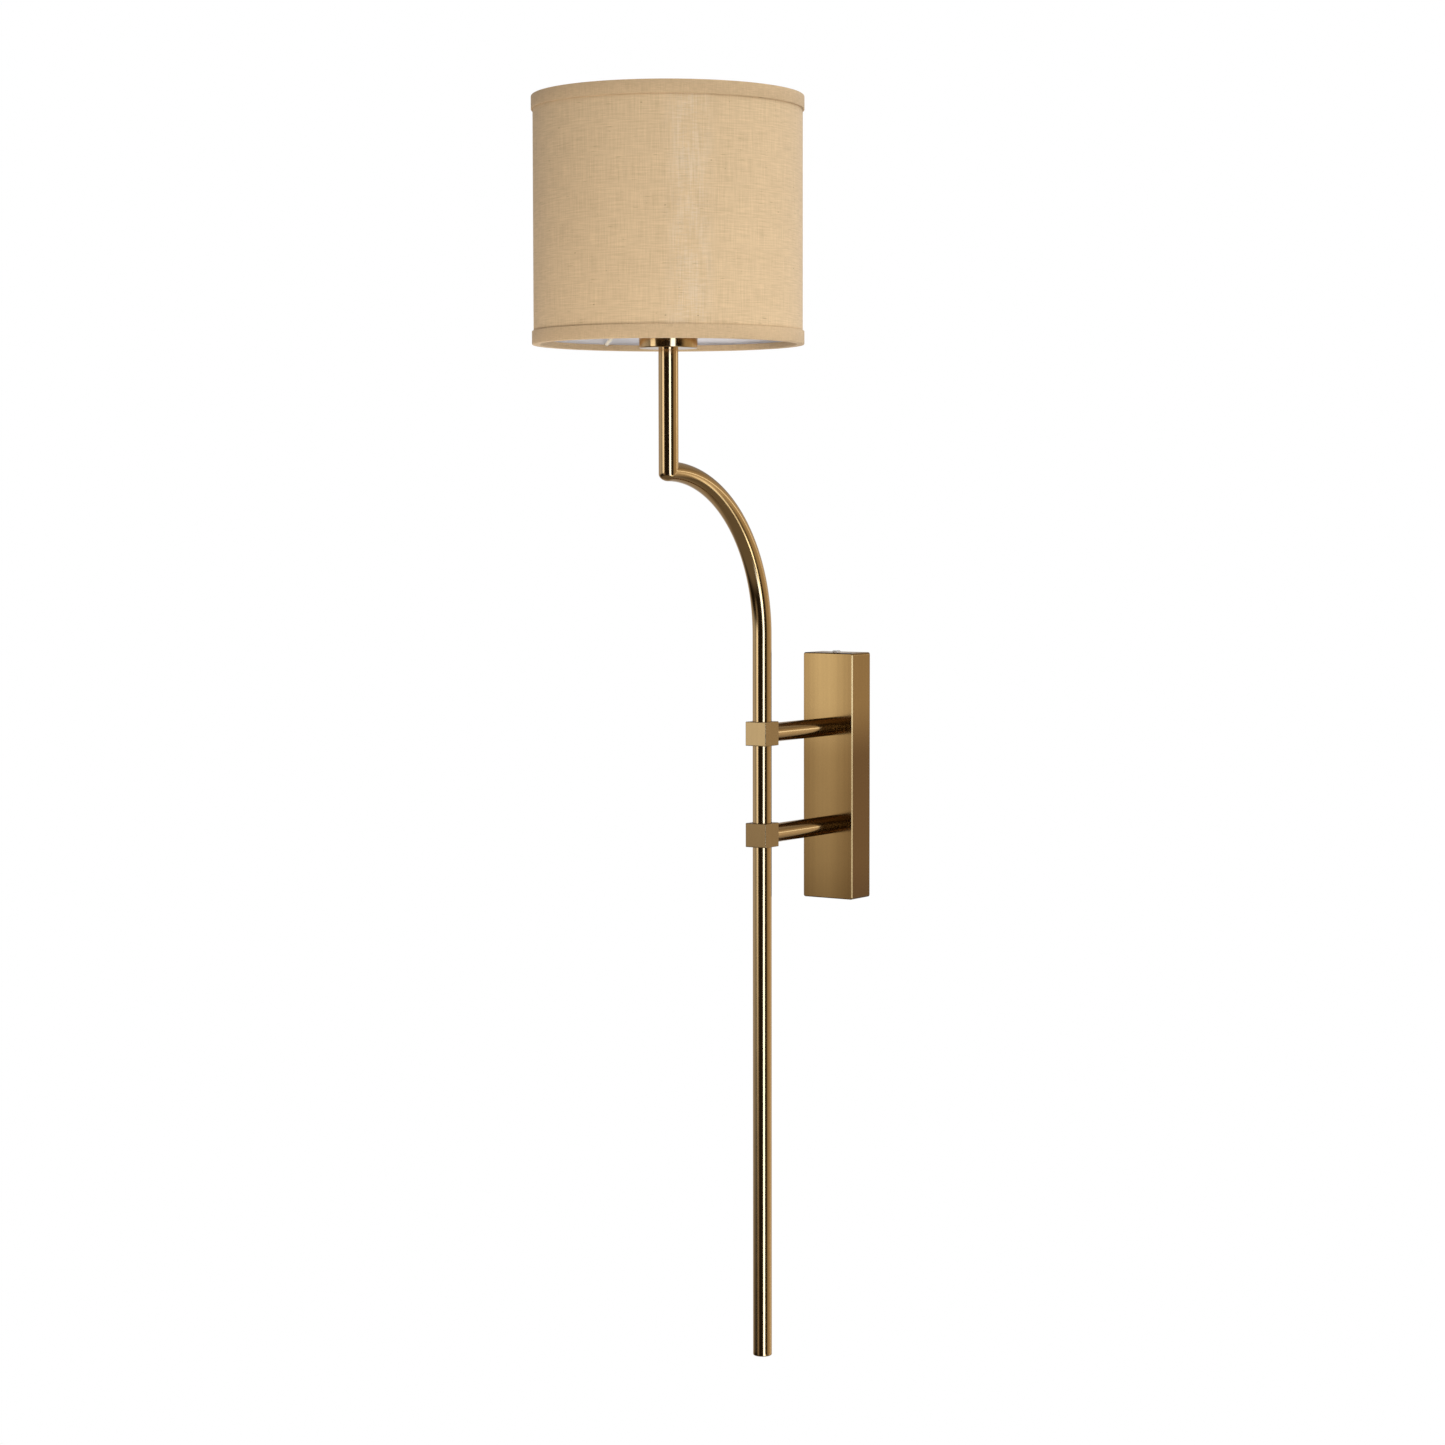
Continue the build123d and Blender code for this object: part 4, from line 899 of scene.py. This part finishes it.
@dataclass
class Shade:
    """The drum: linen lapped over its liner, and a folded tape on each rim."""

    linen: Span = Span.of("shade_linen")
    liner: Span = Span.of("shade_liner")
    wire: Span = Span.of("shade_bottom_wire")
    spokes: Span = Span.of("shade_spokes")
    columns: int = 240
    lap_width: float = 9.0 * MM
    cloth_share: float = 0.9
    tape_gap: float = 0.05 * MM
    tape_web: float = 0.8 * MM
    tape_lip: float = 0.8 * MM
    tape_fold: float = 4.5 * MM
    tape_height: float = 10.0 * MM
    rim_round: float = 0.6 * MM
    edge_round: float = 0.25 * MM
    spoke_angles: tuple[float, ...] = (35.0, 155.0, 275.0)
    spoke_width: float = 3.1 * MM
    snip_depth: float = 6.0 * MM

    def __post_init__(self) -> None:
        """Works out the cloth's thickness and the angles of its lap."""
        self.radius = self.linen.size.x / 2
        self.layer = self.radius - self.liner.size.x / 2
        self.ramp = acos(self.radius / (self.radius + self.layer))
        self.lap = self.lap_width / (self.radius + self.layer)

    def around(self, angle: float, radius: float) -> Vector:
        """A place on a circle about the drum's axis, with angle 0 at the back."""
        return Vector((-radius * sin(angle), LAMP_Y + radius * cos(angle), 0.0))

    def spin(self, angle: float, steps: int) -> None:
        """Turns what is selected about the drum's axis, leaving a surface behind it."""
        bpy.ops.mesh.spin(steps=steps, angle=-angle, center=(0, LAMP_Y, 0), axis=(0, 0, 1))

    def build_linen(self) -> bpy.types.Object:
        """Rolls the cloth round the liner from its free edge at the back to the end under the lap."""
        tall = self.linen.size.z
        edge_y = LAMP_Y + self.radius + self.layer
        bpy.ops.object.select_all(action="DESELECT")
        bpy.ops.mesh.primitive_plane_add(
            size=tall, location=(0, edge_y + tall / 2, self.linen.centre.z), rotation=(0, pi / 2, 0)
        )
        piece = begin("linen_drum")
        step = tau / self.columns
        ramp_start = self.around(self.lap, self.radius + self.layer)
        ramp_end = self.around(self.lap + self.ramp, self.radius)
        with editing(piece):
            pick(piece, lambda place: place.y > edge_y + tall / 2)
            bpy.ops.mesh.delete(type="VERT")
            bpy.ops.mesh.select_all(action="SELECT")
            self.spin(self.lap, ceil(self.lap / step))
            for _ in range(ceil(self.ramp / step)):
                pull((ramp_end - ramp_start) / ceil(self.ramp / step))
            self.spin(tau - self.ramp, self.columns)
            weld()
        apply_modifier(piece, "SOLIDIFY", thickness=self.cloth_share * self.layer, offset=-1.0)
        finish_piece(piece, Finish.LINEN.material(), "swing_stem", "linen", "shade_linen")
        return piece

    def build_tape(self, name: str, node: str, up: int) -> bpy.types.Object:
        """Folds a tape over one rim: down the outside, across the edge, and back inside the wire.

        Args:
            name: the piece's name.
            node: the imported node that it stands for.
            up: 1 for the lower rim and -1 for the upper.

        Returns:
            The new piece.
        """
        span = Span.of(node)
        rim = span.low.z if up > 0 else span.high.z
        outer = span.size.x / 2
        wall = outer - self.radius - self.tape_gap
        lip = self.wire.size.x / 2 - self.wire.size.z - self.tape_gap
        web_z = rim + up * self.tape_web
        bpy.ops.object.select_all(action="DESELECT")
        bpy.ops.mesh.primitive_plane_add(
            size=1.0, location=(outer - wall / 2, LAMP_Y, (rim + web_z) / 2), rotation=(pi / 2, 0, 0)
        )
        bpy.context.object.scale = (wall, self.tape_web, 1.0)
        piece = begin(name)
        near = 0.01 * MM
        with editing(piece):
            pick(piece, lambda place: abs(place.z - web_z) < near)
            pull((0, 0, up * (self.tape_height - self.tape_web)))
            inside = outer - wall + near
            web = self.tape_web + near
            pick(piece, lambda place: place.x < inside and abs(place.z - rim) < web)
            pull((lip - (outer - wall), 0, 0))
            pull((-self.tape_lip, 0, 0))
            pick(piece, lambda place: place.x < lip + near and abs(place.z - web_z) < near)
            pull((0, 0, up * (self.tape_fold - self.tape_web)))
            bpy.ops.mesh.select_all(action="SELECT")
            bpy.ops.mesh.dissolve_limited(angle_limit=radians(1))
            pick(piece, lambda place: abs(place.z - rim) < near)
            bpy.ops.mesh.bevel(offset=self.rim_round, segments=4, affect="VERTICES")
            pick(piece, lambda place: abs(place.z - rim) > self.tape_fold - near)
            bpy.ops.mesh.bevel(offset=self.edge_round, segments=2, affect="VERTICES")
            bpy.ops.mesh.select_all(action="SELECT")
            bpy.ops.mesh.delete(type="ONLY_FACE")
            bpy.ops.mesh.select_all(action="SELECT")
            self.spin(tau, self.columns)
            weld()
            self.ease_over_lap(piece)
        return piece

    def ease_over_lap(self, piece: bpy.types.Object) -> None:
        """Lifts a tape where it passes over the lap at the back."""
        middle = self.around((self.lap + self.ramp) / 2, self.radius)
        pick(piece, lambda place: (place.xy - middle.xy).length < 0.7 * self.lap_width)
        bpy.ops.transform.translate(
            value=(0, self.layer, 0),
            use_proportional_edit=True,
            proportional_edit_falloff="SMOOTH",
            proportional_size=self.lap_width,
        )

    def snip(self, piece: bpy.types.Object) -> None:
        """Cuts the inner fold of the lower tape where the spokes pass through it."""
        floor = self.spokes.low.z - self.tape_gap - 0.2 * MM
        reach = self.wire.size.x / 2 - self.snip_depth / 2
        for angle in self.spoke_angles:
            away = Vector((cos(radians(angle)), sin(radians(angle)), 0.0))
            place = Vector((0, LAMP_Y, floor + self.tape_fold / 2)) + away * reach
            bpy.ops.object.select_all(action="DESELECT")
            bpy.ops.mesh.primitive_cube_add(size=1.0, location=place, rotation=(0, 0, radians(angle)))
            bpy.context.object.scale = (self.snip_depth, self.spoke_width, self.tape_fold)
            cut_away(piece, begin("snip"))

    def build(self) -> None:
        """Builds the cloth and both tapes."""
        self.build_linen()
        lower = self.build_tape("lower_tape", "shade_bottom_trim", 1)
        self.snip(lower)
        finish_piece(lower, Finish.TAPE.material(), "swing_stem", "linen_tape", "shade_bottom_trim")
        upper = self.build_tape("upper_tape", "shade_top_trim", -1)
        finish_piece(upper, Finish.TAPE.material(), "swing_stem", "linen_tape", "shade_top_trim")


@dataclass
class Bulb:
    """The opal dome of the bulb."""

    globe: Span = Span.of("bulb_globe")
    wall: float = 1.2 * MM
    segments: int = 72

    def build(self) -> None:
        """Cuts a ball off at its seat and gives it a wall."""
        radius = self.globe.size.x / 2
        centre = (0, LAMP_Y, self.globe.high.z - radius)
        bpy.ops.object.select_all(action="DESELECT")
        bpy.ops.mesh.primitive_uv_sphere_add(
            segments=self.segments, ring_count=self.segments // 2, radius=radius, location=centre
        )
        piece = begin("opal_dome")
        with editing(piece):
            bpy.ops.mesh.bisect(
                plane_co=(0, LAMP_Y, self.globe.low.z), plane_no=(0, 0, 1), clear_inner=True
            )
        apply_modifier(piece, "SOLIDIFY", thickness=self.wall, offset=-1.0)
        finish_piece(piece, Finish.OPAL.material(), "bulb", "opal_cover", "bulb_globe")


class Pole(Enum):
    """How a glow's angles are measured: the directions of azimuth 90, of azimuth 180, and of the pole."""

    UP = ((1.0, 0.0, 0.0), (0.0, 1.0, 0.0), (0.0, 0.0, 1.0))
    RIGHT = ((0.102, 0.0, -0.995), (-0.173, 0.985, -0.018), (0.98, 0.174, 0.1))


@dataclass(frozen=True)
class Sky:
    """A direction as a heading on the unit circle and a height in degrees."""

    x: Wire
    y: Wire
    height: Wire

    @classmethod
    def about(cls, graph: Graph, direction: Wire, pole: Pole) -> "Sky":
        """Splits a direction about a pole.

        Args:
            graph: the world's graph.
            direction: where the light comes from.
            pole: how its angles are measured.

        Returns:
            The heading and height.
        """
        settings = {"operation": "DOT_PRODUCT"}
        x, y, towards = (
            graph.node("ShaderNodeVectorMath", settings, {0: direction, 1: axis}, out="Value")
            for axis in pole.value
        )
        level = graph.math("SQRT", x * x + y * y)
        return cls(x / level, y / level, graph.math("ARCSINE", towards) * (180 / pi))


@dataclass(frozen=True)
class Glow:
    """A soft-edged patch of light in the studio, as the lamp sees it.

    Angles are in degrees. Azimuth 0 is straight out from the wall. Azimuth 90 is to the right, with height
    above the horizon, or about the pole on the right nearly straight down.
    """

    azimuth: float
    half_width: float
    side_blur: float
    low: float
    high: float
    end_blur: float
    strength: float
    tint: Colour = (1.0, 1.0, 1.0)
    mirrored: Colour | None = None
    pole: Pole = Pole.UP

    @property
    def colour(self) -> Colour:
        """The tint times the strength."""
        return tuple(self.strength * part for part in self.tint)

    def patch(self, graph: Graph, skies: Mapping[Pole, Sky]) -> Wire:
        """How much of the glow lies in a direction.

        Args:
            graph: the world's graph.
            skies: the direction about each pole.

        Returns:
            A number from 0 to 1.
        """
        sky = skies[self.pole]
        turn = radians(self.azimuth)
        aside = graph.math("ARCCOSINE", sky.x * sin(turn) - sky.y * cos(turn)) * (180 / pi)
        across = graph.ease(aside, self.half_width + self.side_blur, self.half_width - self.side_blur)
        above = graph.ease(sky.height, self.low - self.end_blur, self.low + self.end_blur)
        below = graph.ease(sky.height, self.high + self.end_blur, self.high - self.end_blur)
        return across * above * below

    def light(self, graph: Graph, skies: Mapping[Pole, Sky], glossy: Wire) -> Wire:
        """The glow's light from a direction.

        Args:
            graph: the world's graph.
            skies: the direction about each pole.
            glossy: 1 for a ray that metal mirrored.

        Returns:
            A colour.
        """
        colour: Operand = self.colour
        if self.mirrored:
            colour = graph.mix(glossy, self.colour, self.mirrored)
        return graph.math("MULTIPLY", self.patch(graph, skies), colour)


@dataclass(frozen=True)
class Fill:
    """A small soft lamp low in front of the shade, which the metal doesn't mirror."""

    place: tuple[float, float, float]
    tint: Colour
    power: float
    size: float = 0.3
    aim: tuple[float, float, float] = (0.0, -0.25, 0.4)

    def build(self, name: str) -> None:
        """Hangs the lamp and turns it to the shade."""
        data = bpy.data.lights.new(name, "AREA")
        data.size = self.size
        data.energy = self.power
        data.color = self.tint
        lamp = bpy.data.objects.new(name, data)
        lamp.location = self.place
        aim = Vector(self.aim) - Vector(self.place)
        lamp.rotation_euler = aim.to_track_quat("-Z", "Y").to_euler()
        lamp.visible_camera = False
        lamp.visible_glossy = False
        bpy.context.scene.collection.objects.link(lamp)


@dataclass(frozen=True)
class Studio:
    """The light round the lamp, the white behind it and the floor below it."""

    dim: Colour = (0.016, 0.013, 0.011)
    glows: tuple[Glow, ...] = (
        # The strip on the right that draws the white line down the tubes
        Glow(53.5, 8.8, 3.0, -34.0, 12.0, 9.0, 3.6, (1.0, 0.98, 0.95), mirrored=(2.6, 3.6, 6.2)),
        # Two level strips above, for the lines along the arms and the bend
        Glow(
            112.0, 45.0, 20.0, 41.0, 46.5, 2.5, 2.3, (1.0, 0.97, 0.9),
            mirrored=(1.5, 1.75, 2.1), pole=Pole.RIGHT,
        ),
        Glow(58.0, 28.0, 12.0, 42.5, 50.0, 3.0, 0.0, mirrored=(2.4, 2.9, 3.6), pole=Pole.RIGHT),
        # The broad light in front, on the plate and the tubes' left band, and its spill below
        Glow(-28.5, 11.0, 3.5, -7.5, 12.0, 5.5, 1.98, (1.0, 0.95, 0.88), mirrored=(1.5, 1.7, 2.1)),
        Glow(-19.0, 10.0, 7.0, -24.0, -7.0, 6.0, 0.26, (1.0, 0.95, 0.9)),
        # The dim left of the room
        Glow(-66.0, 22.0, 12.0, -10.5, 40.0, 6.0, 0.27, (1.0, 0.97, 0.95), mirrored=(0.42, 0.48, 0.62)),
        Glow(-115.0, 42.0, 16.0, -14.0, 40.0, 8.0, 0.2, (1.0, 0.97, 0.95)),
        # The right, behind: one for the cloth, one for the metal, and a thin line on the plate's bevel
        Glow(140.0, 43.0, 14.0, -26.0, 30.0, 10.0, 0.42, (1.0, 0.96, 0.89), mirrored=(0.0, 0.0, 0.0)),
        Glow(140.0, 43.0, 14.0, -24.0, 20.0, 12.0, 0.0, mirrored=(0.44, 0.395, 0.32)),
        Glow(146.5, 6.0, 3.5, 0.5, 3.5, 2.0, 0.0, mirrored=(1.7, 2.0, 2.4)),
        # The wall's own glow on the left
        Glow(214.0, 40.0, 22.0, -60.0, 60.0, 10.0, 0.22),
        # The large soft light overhead, mostly for the cloth, and the floor's bounce
        Glow(95.0, 85.0, 40.0, 24.0, 89.0, 6.0, 2.1, (1.0, 1.01, 1.02), mirrored=(0.28, 0.28, 0.28)),
        Glow(0.0, 181.0, 0.5, -92.0, -34.0, 8.0, 0.15, (1.0, 0.97, 0.94)),
    )
    backdrop: Glow = Glow(205.0, 55.0, 35.0, -30.0, 6.0, 10.0, 0.38)
    fills: tuple[Fill, ...] = (
        Fill((-0.23, -0.75, -0.05), (1.0, 0.93, 0.86), 2.1),
        Fill((0.55, -0.45, -0.03), (1.0, 1.0, 1.0), 1.3),
    )
    floor_drop: float = 0.9
    floor_radius: float = 2.4
    floor_colour: Colour = (0.8, 0.8, 0.8)
    floor_lift: float = 0.55

    def build_world(self) -> None:
        """Lights the lamp from all round, and shows plain white to the camera and behind in the metal."""
        world = bpy.data.worlds.new("studio")
        world.use_nodes = True
        bpy.context.scene.world = world
        graph = Graph(world.node_tree)
        direction = graph.node("ShaderNodeTexCoord", out="Generated")
        skies = {pole: Sky.about(graph, direction, pole) for pole in Pole}
        glossy = graph.node("ShaderNodeLightPath", out="Is Glossy Ray")
        light: Operand = self.dim
        for glow in self.glows:
            light = glow.light(graph, skies, glossy) + light
        behind = self.backdrop.patch(graph, skies) * glossy * self.backdrop.strength
        light = graph.mix(behind, light, (1.0, 1.0, 1.0))
        seen = graph.node("ShaderNodeLightPath", out="Is Camera Ray")
        through = graph.node("ShaderNodeLightPath", out="Is Transmission Ray")
        colour = graph.mix(graph.math("MAXIMUM", seen, through), light, (1.0, 1.0, 1.0))
        graph.close(graph.node("ShaderNodeBackground", {}, {"Color": colour}), "ShaderNodeOutputWorld")

    def build_floor(self) -> None:
        """Lays a round pale floor well below the lamp."""
        bpy.ops.object.select_all(action="DESELECT")
        place = (0, LAMP_Y / 2, CAD_BOX[0].z - self.floor_drop)
        bpy.ops.mesh.primitive_circle_add(
            vertices=96, radius=self.floor_radius, fill_type="NGON", location=place
        )
        floor = begin("floor")
        material, graph, _ = new_material("floor_paper")
        paper = graph.principled({"Base Color": self.floor_colour, "Roughness": 0.9})
        seen = graph.node("ShaderNodeLightPath", out="Is Camera Ray")
        lift = graph.node("ShaderNodeEmission", {}, {"Strength": seen * self.floor_lift})
        graph.close(graph.node("ShaderNodeAddShader", {}, {0: paper, 1: lift}))
        floor.data.materials.append(material)
        floor.visible_glossy = False

    def build(self) -> None:
        """Builds the light and the floor, and leaves colours as they are written."""
        bpy.context.scene.view_settings.view_transform = "Standard"
        self.build_world()
        for number, fill in enumerate(self.fills):
            fill.build(f"fill_{number}")
        self.build_floor()


@dataclass(frozen=True)
class PhotoCamera:
    """The camera that the photograph was taken with: metres, degrees, and pixels of its square frame."""

    place: tuple[float, float, float] = (1.3937, -2.2322, 0.2138)
    azimuth: float = 34.163
    pitch: float = -3.738
    roll: float = 0.08
    focal_pixels: float = 3219.0
    frame_pixels: float = 1445.0
    sensor_mm: float = 36.0

    def build(self) -> None:
        """Makes the camera and hands it to the scene."""
        data = bpy.data.cameras.new("photo_camera")
        data.sensor_width = self.sensor_mm
        data.lens = self.focal_pixels / self.frame_pixels * self.sensor_mm
        camera = bpy.data.objects.new("photo_camera", data)
        camera.location = self.place
        camera.rotation_euler = (radians(90 + self.pitch), radians(self.roll), radians(self.azimuth))
        bpy.context.scene.collection.objects.link(camera)
        bpy.context.scene.camera = camera


def main() -> None:
    """Builds the lamp's looks and its studio in order."""
    logging.basicConfig(level=logging.INFO, format="%(name)s: %(message)s")
    dress_nodes()
    Stem().build()
    Shade().build()
    Bulb().build()
    Studio().build()
    PhotoCamera().build()


if __name__ == "__main__":
    main()
